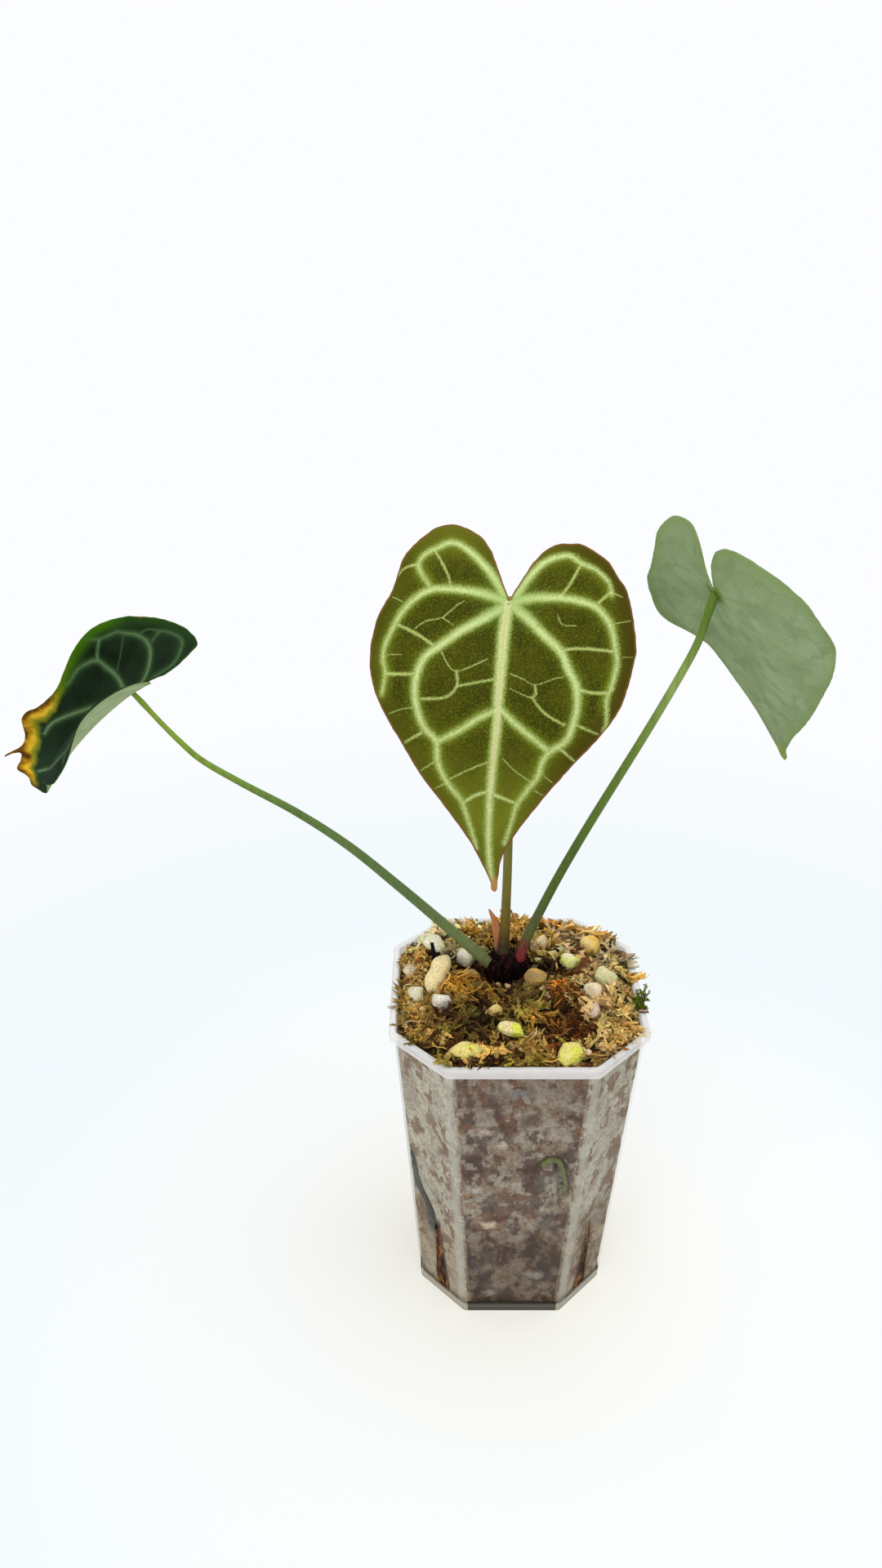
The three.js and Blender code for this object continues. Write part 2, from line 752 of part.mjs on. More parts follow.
const materials = {
  pot: new THREE.MeshStandardMaterial({
    color: 0xd9d9e0, roughness: 0.35, metalness: 0, transparent: true, opacity: 0.35,
  }),
  soil: new THREE.MeshStandardMaterial({ color: 0x6b5230, roughness: 0.95, metalness: 0 }),
  pumice: new THREE.MeshStandardMaterial({ color: 0xd8cfa8, roughness: 0.9, metalness: 0 }),
  goldMoss: new THREE.MeshStandardMaterial({ color: 0xa87a34, roughness: 0.95, metalness: 0 }),
  rustMoss: new THREE.MeshStandardMaterial({ color: 0x7a431a, roughness: 0.95, metalness: 0 }),
  oliveMoss: new THREE.MeshStandardMaterial({ color: 0x6f6a28, roughness: 0.95, metalness: 0 }),
  liveMoss: new THREE.MeshStandardMaterial({ color: 0x3c5a1c, roughness: 0.9, metalness: 0 }),
  crown: new THREE.MeshStandardMaterial({ color: 0x2a1416, roughness: 0.8, metalness: 0 }),
  cataphyll: new THREE.MeshStandardMaterial({ color: 0xb5655a, roughness: 0.6, metalness: 0 }),
  petiole: new THREE.MeshStandardMaterial({ color: 0x4f7038, roughness: 0.5, metalness: 0 }),
  blade: new THREE.MeshStandardMaterial({ color: 0x3c4f18, roughness: 0.6, metalness: 0 }),
  deadRoot: new THREE.MeshStandardMaterial({ color: 0x2c2a26, roughness: 0.8, metalness: 0 }),
  greenRoot: new THREE.MeshStandardMaterial({ color: 0x7b8440, roughness: 0.7, metalness: 0 }),
};

addPiece('pot', toGeometry(potSolid()), materials.pot);

// A petiole stops short of its blade's underside and of the corner at the joint
for (const [side, blade] of Object.entries(LEAVES)) {
  const corner = new THREE.IcosahedronGeometry(2 * GAP, 1);
  corner.translate(...blade.leaf.joint.toArray());
  const clearance = [bladeSolid(blade, BLADE_THICKNESS + 2 * GAP), toSolid(corner)];
  const petiole = carve(petioleSolid(PETIOLES[side], 0), clearance);
  addPiece(`petiole_${side}`, toGeometry(petiole), materials.petiole);
  addPiece(`blade_${side}`, toGeometry(bladeSolid(blade, BLADE_THICKNESS)), materials.blade);
}

// What the later pieces have to stay clear of, each grown by the gap
const obstacles = Object.values(PETIOLES).map((petiole) => petioleSolid(petiole, GAP));

const crown = carve(crownSolid(0), obstacles);
addPiece('crown', toGeometry(crown), materials.crown);
obstacles.push(crownSolid(GAP));

const cataphyll = carve(cataphyllSolid(), obstacles);
addPiece('cataphyll', toGeometry(cataphyll), materials.cataphyll);

for (const [name, { points, start, end }] of Object.entries(ROOT_ROUTES)) {
  const material = name === 'root_dark' ? materials.deadRoot : materials.greenRoot;
  addPiece(name, toGeometry(stem(points, start, end, 6, 12)), material);
  obstacles.push(stem(points, start + GAP, end + GAP, 6, 12));
}

addPiece('root_stub', toGeometry(stem(STUB_ROUTE, 0.8, 0.6, 6, 5)), materials.deadRoot);
obstacles.push(stem(STUB_ROUTE, 0.8 + GAP, 0.6 + GAP, 6, 5));
addPiece('twig', toGeometry(stem(TWIG_ROUTE, 0.4, 0.35, 5, 8)), materials.deadRoot);
obstacles.push(stem(TWIG_ROUTE, 0.4 + GAP, 0.35 + GAP, 5, 8));

GRAINS.forEach((grain, i) => {
  const solid = carve(grainSolid(grain, 0), obstacles);
  const number = String(i + 1).padStart(2, '0');
  addPiece(`pumice_${number}`, toGeometry(solid), materials.pumice);
  obstacles.push(grainSolid(grain, GAP));
});

addPiece('moss_sprig', toGeometry(carve(sprigSolid(), obstacles)), materials.liveMoss);
obstacles.push(sprigKnot(GAP));

const tuftMaterials = {
  moss_tuft_golden: materials.goldMoss,
  moss_tuft_olive: materials.oliveMoss,
  moss_tuft_rust: materials.rustMoss,
};
for (const [name, tuft] of Object.entries(TUFTS)) {
  addPiece(name, toGeometry(carve(tuftSolid(tuft), obstacles)), tuftMaterials[name]);
}
obstacles.push(...Object.values(TUFTS).map((tuft) => tuftKnot(tuft, GAP)));

const soil = carve(joinAll([soilBulk(), ...soilStrands()]), obstacles);
addPiece('soil', toGeometry(soil), materials.soil);

export default group;
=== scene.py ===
import math
import random

import bmesh
import bpy
import numpy as np
from mathutils import Matrix, Quaternion, Vector, noise
from mathutils.geometry import delaunay_2d_cdt


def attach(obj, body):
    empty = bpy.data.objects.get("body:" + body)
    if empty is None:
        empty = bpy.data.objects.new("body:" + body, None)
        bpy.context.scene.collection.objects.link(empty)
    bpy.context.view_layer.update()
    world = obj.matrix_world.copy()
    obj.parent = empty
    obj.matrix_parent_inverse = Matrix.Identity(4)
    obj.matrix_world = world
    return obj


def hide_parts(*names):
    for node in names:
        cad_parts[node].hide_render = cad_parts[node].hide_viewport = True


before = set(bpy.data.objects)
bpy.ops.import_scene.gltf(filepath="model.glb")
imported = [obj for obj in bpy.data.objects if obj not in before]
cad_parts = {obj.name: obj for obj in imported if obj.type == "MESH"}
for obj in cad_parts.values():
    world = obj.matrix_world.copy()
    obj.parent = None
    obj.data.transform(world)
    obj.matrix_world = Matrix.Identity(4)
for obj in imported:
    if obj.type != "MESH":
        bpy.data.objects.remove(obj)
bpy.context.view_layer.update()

# Camera and studio.
# The plant stands on a white sweep in soft, even light. The camera looks down on it
# from just above the middle leaf, close enough for the pot to taper strongly.
MM = 0.001
LENS = 27.19  # 1450 pixels of focal length on a frame 1920 pixels high
CAMERA_PLACE = Vector((-22.8, -292, 326.5)) * MM
CAMERA_PITCH = math.radians(27.2)
WHITE = (0.93, 0.965, 1.0, 1)

camera_data = bpy.data.cameras.new("camera")
camera_data.lens = LENS
camera_data.sensor_width = 36
camera_data.clip_start = 0.01
camera = bpy.data.objects.new("camera", camera_data)
camera.location = CAMERA_PLACE
camera.rotation_euler = (math.pi / 2 - CAMERA_PITCH, 0, 0)
bpy.context.collection.objects.link(camera)
bpy.context.scene.camera = camera

settings = bpy.context.scene.view_settings
settings.view_transform = "Standard"

world = bpy.data.worlds.new("studio")
world.use_nodes = True
world_nodes = world.node_tree.nodes
world_links = world.node_tree.links
room = world_nodes["Background"]
room.inputs["Color"].default_value = WHITE
room.inputs["Strength"].default_value = 0.86
backdrop = world_nodes.new("ShaderNodeBackground")
backdrop.inputs["Color"].default_value = (0.97, 0.98, 1.0, 1)
seen = world_nodes.new("ShaderNodeLightPath")
choose = world_nodes.new("ShaderNodeMixShader")
world_links.new(seen.outputs["Is Camera Ray"], choose.inputs[0])
world_links.new(room.outputs[0], choose.inputs[1])
world_links.new(backdrop.outputs[0], choose.inputs[2])
world_links.new(choose.outputs[0], world_nodes["World Output"].inputs["Surface"])
bpy.context.scene.world = world


def soft_light(name, place, aim, size, power):
    data = bpy.data.lights.new(name, "AREA")
    data.size = size
    data.energy = power
    lamp = bpy.data.objects.new(name, data)
    lamp.location = Vector(place)
    lamp.rotation_euler = (Vector(aim) - lamp.location).to_track_quat("-Z", "Y").to_euler()
    bpy.context.collection.objects.link(lamp)


soft_light("overhead", (0.2, 0.0, 0.95), (0, 0, 0.12), 0.8, 5.0)
soft_light("window", (-0.55, -0.85, 0.6), (0, 0, 0.12), 0.7, 3.6)


def new_material(name, roughness, shine=0.5):
    """A node material of one roughness and gloss, with its tree and its shader."""
    material = bpy.data.materials.new(name)
    material.use_nodes = True
    tree = material.node_tree
    shader = tree.nodes["Principled BSDF"]
    shader.inputs["Roughness"].default_value = roughness
    shader.inputs["Specular IOR Level"].default_value = shine
    return material, tree, shader


def link_value(tree, value, socket):
    """Plugs a node output, or a plain number, vector or colour, into a socket."""
    if isinstance(value, bpy.types.NodeSocket):
        tree.links.new(value, socket)
    else:
        socket.default_value = (*value, 1) if socket.type == "RGBA" else value


def place_of(tree, upright=1):
    """The point on the piece in metres. Patterns stretch along Z where `upright` is low."""
    where = tree.nodes.new("ShaderNodeTexCoord").outputs["Object"]
    if upright == 1:
        return where
    mapping = tree.nodes.new("ShaderNodeMapping")
    mapping.inputs["Scale"].default_value = (1, 1, upright)
    tree.links.new(where, mapping.inputs["Vector"])
    return mapping.outputs["Vector"]


def calc(tree, operation, *values, kind="Math", output=0):
    """Arithmetic on node outputs and plain numbers."""
    node = tree.nodes.new("ShaderNode" + kind)
    node.operation = operation
    for socket, value in zip(node.inputs, values):
        link_value(tree, value, socket)
    return node.outputs[output]


def vector_calc(tree, operation, *values):
    output = "Value" if operation == "LENGTH" else "Vector"
    return calc(tree, operation, *values, kind="VectorMath", output=output)


def scaled(tree, value, factor, shift):
    return calc(tree, "MULTIPLY_ADD", value, factor, shift)


def fade(tree, value, low, high):
    """0 where value is at `low`, 1 at `high`, smooth between."""
    node = tree.nodes.new("ShaderNodeMapRange")
    node.interpolation_type = "SMOOTHSTEP"
    node.inputs["From Min"].default_value = low
    node.inputs["From Max"].default_value = high
    link_value(tree, value, node.inputs["Value"])
    return node.outputs["Result"]


def colour_steps(tree, value, steps):
    """A colour ramp from (position, colour) pairs."""
    node = tree.nodes.new("ShaderNodeValToRGB")
    ramp = node.color_ramp
    while len(ramp.elements) < len(steps):
        ramp.elements.new(0.5)
    for element, (position, tint) in zip(ramp.elements, steps):
        element.position = position
        element.color = (*tint, 1)
    link_value(tree, value, node.inputs["Fac"])
    return node.outputs["Color"]


def new_object(name, bm, material=None):
    """An object that holds the mesh, linked to the scene."""
    mesh = bpy.data.meshes.new(name)
    bm.to_mesh(mesh)
    bm.free()
    if material:
        mesh.materials.append(material)
    made = bpy.data.objects.new(name, mesh)
    bpy.context.collection.objects.link(made)
    return made


# The sweep is painted light: it glows as well as being lit. The glow colour runs with distance from
# the pot, warm next to its foot, greyer blue a little further out and near white far away.
floor_material, tree, shader = new_material("white_sweep_painted_glow", 0.9, 0.1)
shader.inputs["Base Color"].default_value = (0.80, 0.82, 0.83, 1)
far = vector_calc(tree, "LENGTH", place_of(tree))
glow = tree.nodes.new("ShaderNodeEmission")
tree.links.new(colour_steps(tree, far, [
    (0.03, (1.0, 0.97, 0.84)), (0.08, (0.95, 0.955, 0.92)),
    (0.2, (0.875, 0.94, 0.967)), (0.45, (0.97, 0.98, 1.0)),
]), glow.inputs["Color"])
sweep = tree.nodes.new("ShaderNodeMixShader")
tree.links.new(scaled(tree, fade(tree, far, 0.05, 0.3), 0.4, 0.6), sweep.inputs[0])
tree.links.new(shader.outputs[0], sweep.inputs[1])
tree.links.new(glow.outputs[0], sweep.inputs[2])
tree.links.new(sweep.outputs[0], tree.nodes["Material Output"].inputs["Surface"])
bm = bmesh.new()
bmesh.ops.create_grid(bm, x_segments=8, y_segments=8, size=6)
floor = new_object("floor", bm, floor_material)

# Pot.
# A deep square nursery pot with cut corners, injection moulded in clear plastic that
# has gone milky. It has a rolled lip, a tapered slot low in each cut corner and four
# drain holes in the floor.
POT_HEIGHT = 107
POT_BASE_WIDTH, POT_BASE_CUT = 58.5, 14
POT_RIM_WIDTH, POT_RIM_CUT = 72.5, 15.5
POT_WALL = 0.6
POT_FLOOR = 1.5
LIP_HEIGHT = 3.8
LIP_REACH = 1.3
CORNER_ROUND = 0.7
SLOT_TOP, SLOT_FOOT = 2.2, 6.2  # width of a slot
SLOT_LOW, SLOT_HIGH = 3, 33
SLOT_REACH = (16, 46)  # the cutter's ends, from the axis of the pot
DRAIN_RADIUS, DRAIN_OFFSET = 3, 13
BASE_RECESS = 0.5
BEND_HEIGHTS = (36, 70)  # rings that let the wall taper evenly


def wall_at(z, inset):
    """Width and corner cut of the outer wall at a height, moved in by `inset`."""
    rise = z / (POT_HEIGHT - LIP_HEIGHT)
    width = POT_BASE_WIDTH + (POT_RIM_WIDTH - POT_BASE_WIDTH) * rise
    cut = POT_BASE_CUT + (POT_RIM_CUT - POT_BASE_CUT) * rise
    return width - 2 * inset, cut - (2 - math.sqrt(2)) * inset


def pot_outline(z, inset, arc=4):
    """The wall's outline with each corner softened by a few points."""
    width, cut = wall_at(z, inset)
    half, inner = width / 2, width / 2 - cut
    corners = [
        Vector((x, y, z))
        for x, y in (
            (-inner, -half), (inner, -half), (half, -inner), (half, inner),
            (inner, half), (-inner, half), (-half, inner), (-half, -inner),
        )
    ]
    points = []
    for i, corner in enumerate(corners):
        back = (corners[i - 1] - corner).normalized() * CORNER_ROUND
        ahead = (corners[(i + 1) % 8] - corner).normalized() * CORNER_ROUND
        for k in range(arc):
            t = k / (arc - 1)
            points.append(corner + back * (1 - t) ** 2 + ahead * t ** 2)
    return points


def raise_ring(bm, ring, points, closed=True):
    """Extrudes a chain of vertices and moves the new chain to `points`."""
    start = 0 if closed else 1
    edges = [bm.edges.get((ring[i - 1], ring[i])) for i in range(start, len(ring))]
    made = bmesh.ops.extrude_edge_only(bm, edges=edges)["geom"]
    where = {tuple(v.co): v for v in made if isinstance(v, bmesh.types.BMVert)}
    grown = [where[tuple(v.co)] for v in ring]
    for vert, point in zip(grown, points):
        vert.co = point
    return grown


def first_ring(bm, points, closed=True):
    ring = [bm.verts.new(point) for point in points]
    for i in range(0 if closed else 1, len(ring)):
        bm.edges.new((ring[i - 1], ring[i]))
    return ring


bm = bmesh.new()
lip_z = POT_HEIGHT - LIP_HEIGHT
profile = [  # height and inset, from the base up the outside and down the inside
    (BASE_RECESS, 1.8), (0, 1.3), (0, 0.2), (0.2, 0), (0.7, 0),
    *((z, 0) for z in BEND_HEIGHTS),
    (lip_z + 0.1, 0), (lip_z + 0.4, -0.25), (lip_z + 0.4, -LIP_REACH + 0.2),
    (lip_z + 0.7, -LIP_REACH), (POT_HEIGHT - 0.6, -LIP_REACH - 0.1),
    (POT_HEIGHT - 0.15, -LIP_REACH + 0.15), (POT_HEIGHT, -LIP_REACH + 0.6), (POT_HEIGHT, 0.1),
    (POT_HEIGHT - 0.3, 0.5), (POT_HEIGHT - 1.2, POT_WALL),
    *((z, POT_WALL) for z in reversed(BEND_HEIGHTS)),
    (POT_FLOOR + 0.8, POT_WALL), (POT_FLOOR, POT_WALL + 0.8),
]
ring = first_ring(bm, pot_outline(*profile[0]))
bm.faces.new(list(reversed(ring)))
for z, inset in profile[1:]:
    ring = raise_ring(bm, ring, pot_outline(z, inset))
bm.faces.new(ring)
pot_shell = new_object("pot_shell", bm)

bm = bmesh.new()
for corner in range(4):
    turn = Matrix.Rotation(math.pi / 4 + corner * math.pi / 2, 4, "Z")
    slot_box = bmesh.ops.create_cube(bm, size=1)["verts"]
    for vert in slot_box:
        x, y, z = vert.co
        vert.co = (SLOT_REACH[x > 0], y * (SLOT_TOP if z > 0 else SLOT_FOOT),
                   SLOT_HIGH if z > 0 else SLOT_LOW)
    bmesh.ops.transform(bm, matrix=turn, verts=slot_box)
    bmesh.ops.create_cone(
        bm, cap_ends=True, segments=24, radius1=DRAIN_RADIUS, radius2=DRAIN_RADIUS, depth=8,
        matrix=turn @ Matrix.Translation((DRAIN_OFFSET, 0, 0)),
    )
pot_cutter = new_object("pot_cutter", bm)
cut = pot_shell.modifiers.new("slots", "BOOLEAN")
cut.operation = "DIFFERENCE"
cut.solver = "EXACT"
cut.object = pot_cutter
bpy.context.view_layer.update()
shaped = pot_shell.evaluated_get(bpy.context.evaluated_depsgraph_get())
bm = bmesh.new()
bm.from_mesh(shaped.to_mesh())
shaped.to_mesh_clear()
bpy.data.objects.remove(pot_shell)
bpy.data.objects.remove(pot_cutter)


def cloud(tree, grain_mm, detail=3.0, roughness=0.55, upright=1, shift=0.0):
    """Cloudy noise, about 0 to 1, with patches `grain_mm` across."""
    node = tree.nodes.new("ShaderNodeTexNoise")
    node.noise_dimensions = "4D"
    node.inputs["W"].default_value = shift
    node.inputs["Scale"].default_value = 1 / (grain_mm * MM)
    node.inputs["Detail"].default_value = detail
    node.inputs["Roughness"].default_value = roughness
    tree.links.new(place_of(tree, upright), node.inputs["Vector"])
    return node.outputs["Fac"]


def parts_of(tree, vector, kind="XYZ"):
    """The three parts of a vector or, with kind="Color", of a colour."""
    node = tree.nodes.new("ShaderNodeSeparate" + kind)
    tree.links.new(vector, node.inputs[0])
    return node.outputs[:3]


def place_mm(tree):
    """The point on the piece in millimetres."""
    return vector_calc(tree, "MULTIPLY", place_of(tree), (1000, 1000, 1000))


def times(tree, first, *others):
    """The product of masks and plain shares."""
    for other in others:
        first = calc(tree, "MULTIPLY", first, other)
    return first


def coat(tree, under, over, *masks, way="MIX"):
    """One colour laid over another, as far as all the masks let it."""
    node = tree.nodes.new("ShaderNodeMix")
    node.data_type = "RGBA"
    node.blend_type = way
    link_value(tree, times(tree, *masks), node.inputs["Factor"])
    link_value(tree, under, node.inputs["A"])
    link_value(tree, over, node.inputs["B"])
    return node.outputs["Result"]


def dress(tree, shader, tint, height, strength, depth_mm):
    """Gives a shader its colour and a fine relief."""
    node = tree.nodes.new("ShaderNodeBump")
    node.inputs["Strength"].default_value = strength
    node.inputs["Distance"].default_value = depth_mm * MM
    tree.links.new(height, node.inputs["Height"])
    tree.links.new(node.outputs["Normal"], shader.inputs["Normal"])
    tree.links.new(tint, shader.inputs["Base Color"])


def make_piece(name, bm, material, replaces=(), smooth=True):
    """Turns a mesh made in millimetres into a piece of the plant."""
    bmesh.ops.scale(bm, vec=(MM, MM, MM), verts=bm.verts)
    piece = new_object(name, bm, material)
    faces = piece.data.polygons
    faces.foreach_set("use_smooth", [smooth] * len(faces))
    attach(piece, "root")
    if replaces:
        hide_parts(*replaces)


PLASTIC_IOR = 1.45
CUT_EDGE = (1.4, 0.9)  # how near a cut corner's face the wall counts as that face
SEAM_HIGHLIGHT_EDGE = (2.0, 1.2)  # a painted highlight: the wall is made hazier and paler in a band where a cut corner meets the front or the back
FOOT_EDGE = (4.4, 2.6)  # below this the wall is thick and hardly clear
# below this the plastic is painted dark: painted shade at the foot of the pot
FOOT_SHADE_EDGE = (8.5, 5)
plastic, tree, shader = new_material("milky_clear_plastic", 0.5)
x, y, z = parts_of(tree, place_mm(tree))
east, north = (calc(tree, "ABSOLUTE", axis) for axis in (x, y))
in_lip = fade(tree, z, lip_z - 0.3, lip_z + 0.5)
side_slope = (POT_RIM_WIDTH - POT_BASE_WIDTH) / lip_z / 2
side_plane = scaled(tree, z, side_slope, POT_BASE_WIDTH / 2)
from_side = calc(tree, "SUBTRACT", side_plane, north)
cut_slope = (POT_RIM_WIDTH - POT_RIM_CUT - POT_BASE_WIDTH + POT_BASE_CUT) / lip_z
cut_plane = scaled(tree, z, cut_slope, POT_BASE_WIDTH - POT_BASE_CUT)
from_cut = calc(tree, "SUBTRACT", cut_plane, calc(tree, "ADD", east, north))
on_cut = times(tree, fade(tree, from_cut, *CUT_EDGE), calc(tree, "SUBTRACT", 1.0, in_lip))
seam_highlight = times(tree, fade(tree, from_side, *SEAM_HIGHLIGHT_EDGE), on_cut)
slant = tree.nodes.new("ShaderNodeLayerWeight")
slant.inputs["Blend"].default_value = 0.35
facing_away = slant.outputs["Facing"]
haze_and_highlight = scaled(tree, facing_away, 0.05, 0.012)
# The share on the seam is a painted highlight along the corner; the rest is the plastic's own haze.
for part, share in (
    (fade(tree, cloud(tree, 7, 3, 0.6), 0.45, 0.75), 0.06), (on_cut, 0.015), (seam_highlight, 0.28),
    (fade(tree, facing_away, 0.62, 1.0), 0.4), (in_lip, 0.5), (fade(tree, z, *FOOT_EDGE), 0.95),
):
    haze_and_highlight = scaled(tree, part, share, haze_and_highlight)
tree.links.new(haze_and_highlight, shader.inputs["Alpha"])
dull = scaled(tree, fade(tree, z, 2.4, 1.2), 0.6, 0.25)
tree.links.new(scaled(tree, cloud(tree, 4, 2), 0.2, dull), shader.inputs["Roughness"])
shader.inputs["IOR"].default_value = PLASTIC_IOR
# Painted shade: near black brown at the foot of the wall, a paler brown on the cut corners.
painted_foot_shade = coat(tree, (0.058, 0.05, 0.036), (0.34, 0.3, 0.235), on_cut)
tint = coat(tree, (0.6, 0.58, 0.49), (0.86, 0.83, 0.81), in_lip)
tint = coat(tree, tint, painted_foot_shade, fade(tree, z, *FOOT_SHADE_EDGE))
dress(tree, shader, tint, cloud(tree, 14, 2), 0.12, 1.5)
make_piece("pot_clear", bm, plastic, ["pot"], smooth=False)

# Mix.
# Long-fibre moss with pumice, pressed into the pot and heaped round the crown. It is
# one body whose side shows through the wall; the fibres on top are added after it.
SOIL_EDGE_HEIGHT = 105.8
SOIL_HEAP_HEIGHT = 107.8
SOIL_BACK_RISE = 1.6
SOIL_INSET = POT_WALL + 0.1
WALL_ROOTS = {  # two roots run down between the mix and the wall, and press into its side
    "root_dark": [(-30.6, -15.6, 56.5), (-30.3, -15.8, 49), (-29.4, -16.8, 43.9),
                  (-27.7, -18.2, 40.4), (-26.2, -19.3, 36.9), (-25.4, -19.6, 32),
                  (-24.8, -19.8, 27)],
    "root_green": [(7.2, -32.1, 66.2), (9.4, -32.3, 68.5), (11.8, -32.3, 68.2),
                   (13.3, -32, 64.3), (14.3, -31.6, 59.3), (14.9, -31.2, 53.5)],
}
CROWN_DIP = 3
CROWN = Vector((-2.6, 10, 104))
SIDE_LEVELS = 90
GROOVE_DEPTH = 3
DARK_GROOVE, GREEN_GROOVE = 3.1, 2.2  # half widths


def ground(x, y):
    """Height of the heaped surface, in millimetres."""
    out = min(1, math.hypot(x, y) / (POT_RIM_WIDTH / 2 - POT_WALL))
    heap = SOIL_HEAP_HEIGHT + (SOIL_EDGE_HEIGHT - SOIL_HEAP_HEIGHT) * out ** 2.5
    rise = min(1, max(0, (y - 8) / 18))
    back = SOIL_BACK_RISE * rise * rise * (3 - 2 * rise)
    lumps = math.sin(x * 0.42 + 1.3) * math.cos(y * 0.37 - 0.6) + math.sin((x + y) * 0.21)
    from_crown = math.hypot(x - CROWN.x, y - CROWN.y) / 8.5
    dip = CROWN_DIP * math.exp(-from_crown ** 2)
    return heap + (back + 0.9 * lumps) * (1 - out ** 6) - dip


def press_inside(point, inset):
    """Moves a point in towards the axis until it is inside the wall."""
    width, cut = wall_at(min(point.z, lip_z), inset)
    side = max(abs(point.x), abs(point.y)) / (width / 2)
    corner = (abs(point.x) + abs(point.y)) / (width - cut)
    over = max(side, corner, 1)
    return Vector((point.x / over, point.y / over, point.z))


bm = bmesh.new()
bmesh.ops.create_grid(bm, x_segments=92, y_segments=92, size=36)
top_width, top_cut = wall_at(lip_z, SOIL_INSET)
for k in range(8):
    heading = k * math.pi / 4
    out = Vector((math.cos(heading), math.sin(heading), 0))
    reach = top_width / 2 if k % 2 == 0 else (top_width - top_cut) / math.sqrt(2)
    everything = bm.verts[:] + bm.edges[:] + bm.faces[:]
    bmesh.ops.bisect_plane(
        bm, geom=everything, dist=1e-5, plane_co=out * reach, plane_no=out, clear_outer=True
    )
rim_edges = [edge for edge in bm.edges if edge.is_boundary]
rim_verts = {vert for edge in rim_edges for vert in edge.verts}
ring = sorted(rim_verts, key=lambda vert: math.atan2(vert.co.y, vert.co.x))
outline = [vert.co.copy() for vert in ring]
for vert in bm.verts:
    x, y = vert.co.x, vert.co.y
    rough = noise.fractal(Vector((x, y, 3)) * 0.35, 1.0, 2.1, 3)
    vert.co.z = ground(x, y) + 1.1 * rough - 0.6
top_heights = [vert.co.z for vert in ring]
grooves = [Vector(a).lerp(Vector(b), k / 5) for route in WALL_ROOTS.values()
           for a, b in zip(route, route[1:]) for k in range(5)]
for level in range(1, SIDE_LEVELS + 1):
    points = []
    for flat, top in zip(outline, top_heights):
        z = top + (POT_FLOOR + 0.05 - top) * level / SIDE_LEVELS
        width, _ = wall_at(min(z, lip_z), SOIL_INSET)
        point = Vector((flat.x * width / top_width, flat.y * width / top_width, z))
        point = press_inside(point, SOIL_INSET)
        root_gap = min((point - spot).length for spot in grooves) if point.y < -10 else 9
        half_groove = DARK_GROOVE if point.x < -20 else GREEN_GROOVE
        inset = GROOVE_DEPTH * math.exp(-(root_gap / half_groove) ** 4)
        inset += 0.5 * max(0, POT_FLOOR + 0.9 - z)
        inset += 0.35 * max(0, noise.fractal(point * 0.3, 1.0, 2.2, 3))
        points.append(press_inside(point, SOIL_INSET + inset))
    ring = raise_ring(bm, ring, points)
bm.faces.new(ring)
bmesh.ops.recalc_face_normals(bm, faces=bm.faces)


def coats(tree, tint, tints, *layers):
    """Lays named tints over one another, each as far as its masks let it."""
    for name, *masks in layers:
        tint = coat(tree, tint, tints[name], *masks)
    return tint


MIX_TINTS = dict(
    # upper is painted shade: a darker band high on the side of the mix, under the lip
    clump=(0.35, 0.305, 0.235), rot=(0.05, 0.02, 0.014), upper=(0.115, 0.055, 0.035),
    rust=(0.17, 0.068, 0.024), chip=(0.34, 0.295, 0.23), corner=(0.5, 0.465, 0.36),
    streak=(0.17, 0.088, 0.04), foot=(0.035, 0.04, 0.02), rim=(0.34, 0.22, 0.08),
)
DRIFT = 6  # a warped point lies up to this far off, and half of it on average
# pieces that stand out on the front: x, z, half width, half height, colour
WALL_MARKS = [
    (-8.9, 41.1, 2.8, 2.3, (0.58, 0.46, 0.32)), (-5, 75.1, 2.3, 1.8, (0.50, 0.42, 0.33)),
    (-13.2, 56.8, 2.3, 2, (0.40, 0.34, 0.26)), (-10.2, 80.7, 2, 1.6, (0.42, 0.34, 0.27)),
    (3.1, 84.7, 3.6, 2.6, (0.09, 0.035, 0.02)), (-17.5, 82.3, 3.2, 2.4, (0.15, 0.065, 0.025)),
    (-16.7, 53.4, 2.8, 1.6, (0.24, 0.10, 0.03)), (0.9, 52.5, 4.5, 1.6, (0.14, 0.06, 0.03)),
    (9.4, 44.7, 4, 1.3, (0.06, 0.05, 0.04)), (7.7, 57.7, 1.2, 4.8, (0.06, 0.05, 0.036)),
    (-0.6, 95.5, 4.5, 1.6, (0.19, 0.175, 0.175)), (-12.8, 21.8, 2.8, 2.6, (0.05, 0.022, 0.016)),
    (-2.5, 7, 4.5, 3.4, (0.045, 0.02, 0.014)), (7, 17.1, 3.2, 2.2, (0.23, 0.20, 0.165)),
    (-7.5, 8.5, 2.2, 1.8, (0.22, 0.20, 0.16)), (21, 66.9, 2.2, 5, (0.30, 0.30, 0.30)),
]
mix, tree, shader = new_material("damp_moss_mix", 0.9, 0.2)
x, y, z = parts_of(tree, place_mm(tree))
east, north = (calc(tree, "ABSOLUTE", axis) for axis in (x, y))
low_down = fade(tree, z, 48, 26)
side = colour_steps(tree, cloud(tree, 11, 4, 0.6, 0.7, 1.0), [
    (0.42, (0.092, 0.048, 0.034)), (0.48, (0.145, 0.093, 0.068)),
    (0.53, (0.225, 0.178, 0.132)), (0.58, (0.285, 0.248, 0.19)),
])
clumps = cloud(tree, 4.4, 5, 0.62, 0.7, 9.0)
warp = tree.nodes.new("ShaderNodeTexNoise")
warp.inputs["Scale"].default_value = 1 / (5 * MM)
tree.links.new(place_of(tree), warp.inputs["Vector"])
warped = vector_calc(tree, "MULTIPLY_ADD", warp.outputs["Color"], (DRIFT,) * 3, place_mm(tree))
chips = tree.nodes.new("ShaderNodeTexVoronoi")
chips.inputs["Scale"].default_value = 1 / 4.6
tree.links.new(warped, chips.inputs["Vector"])
chosen = fade(tree, parts_of(tree, chips.outputs["Color"], "Color")[0], 0.6, 0.64)
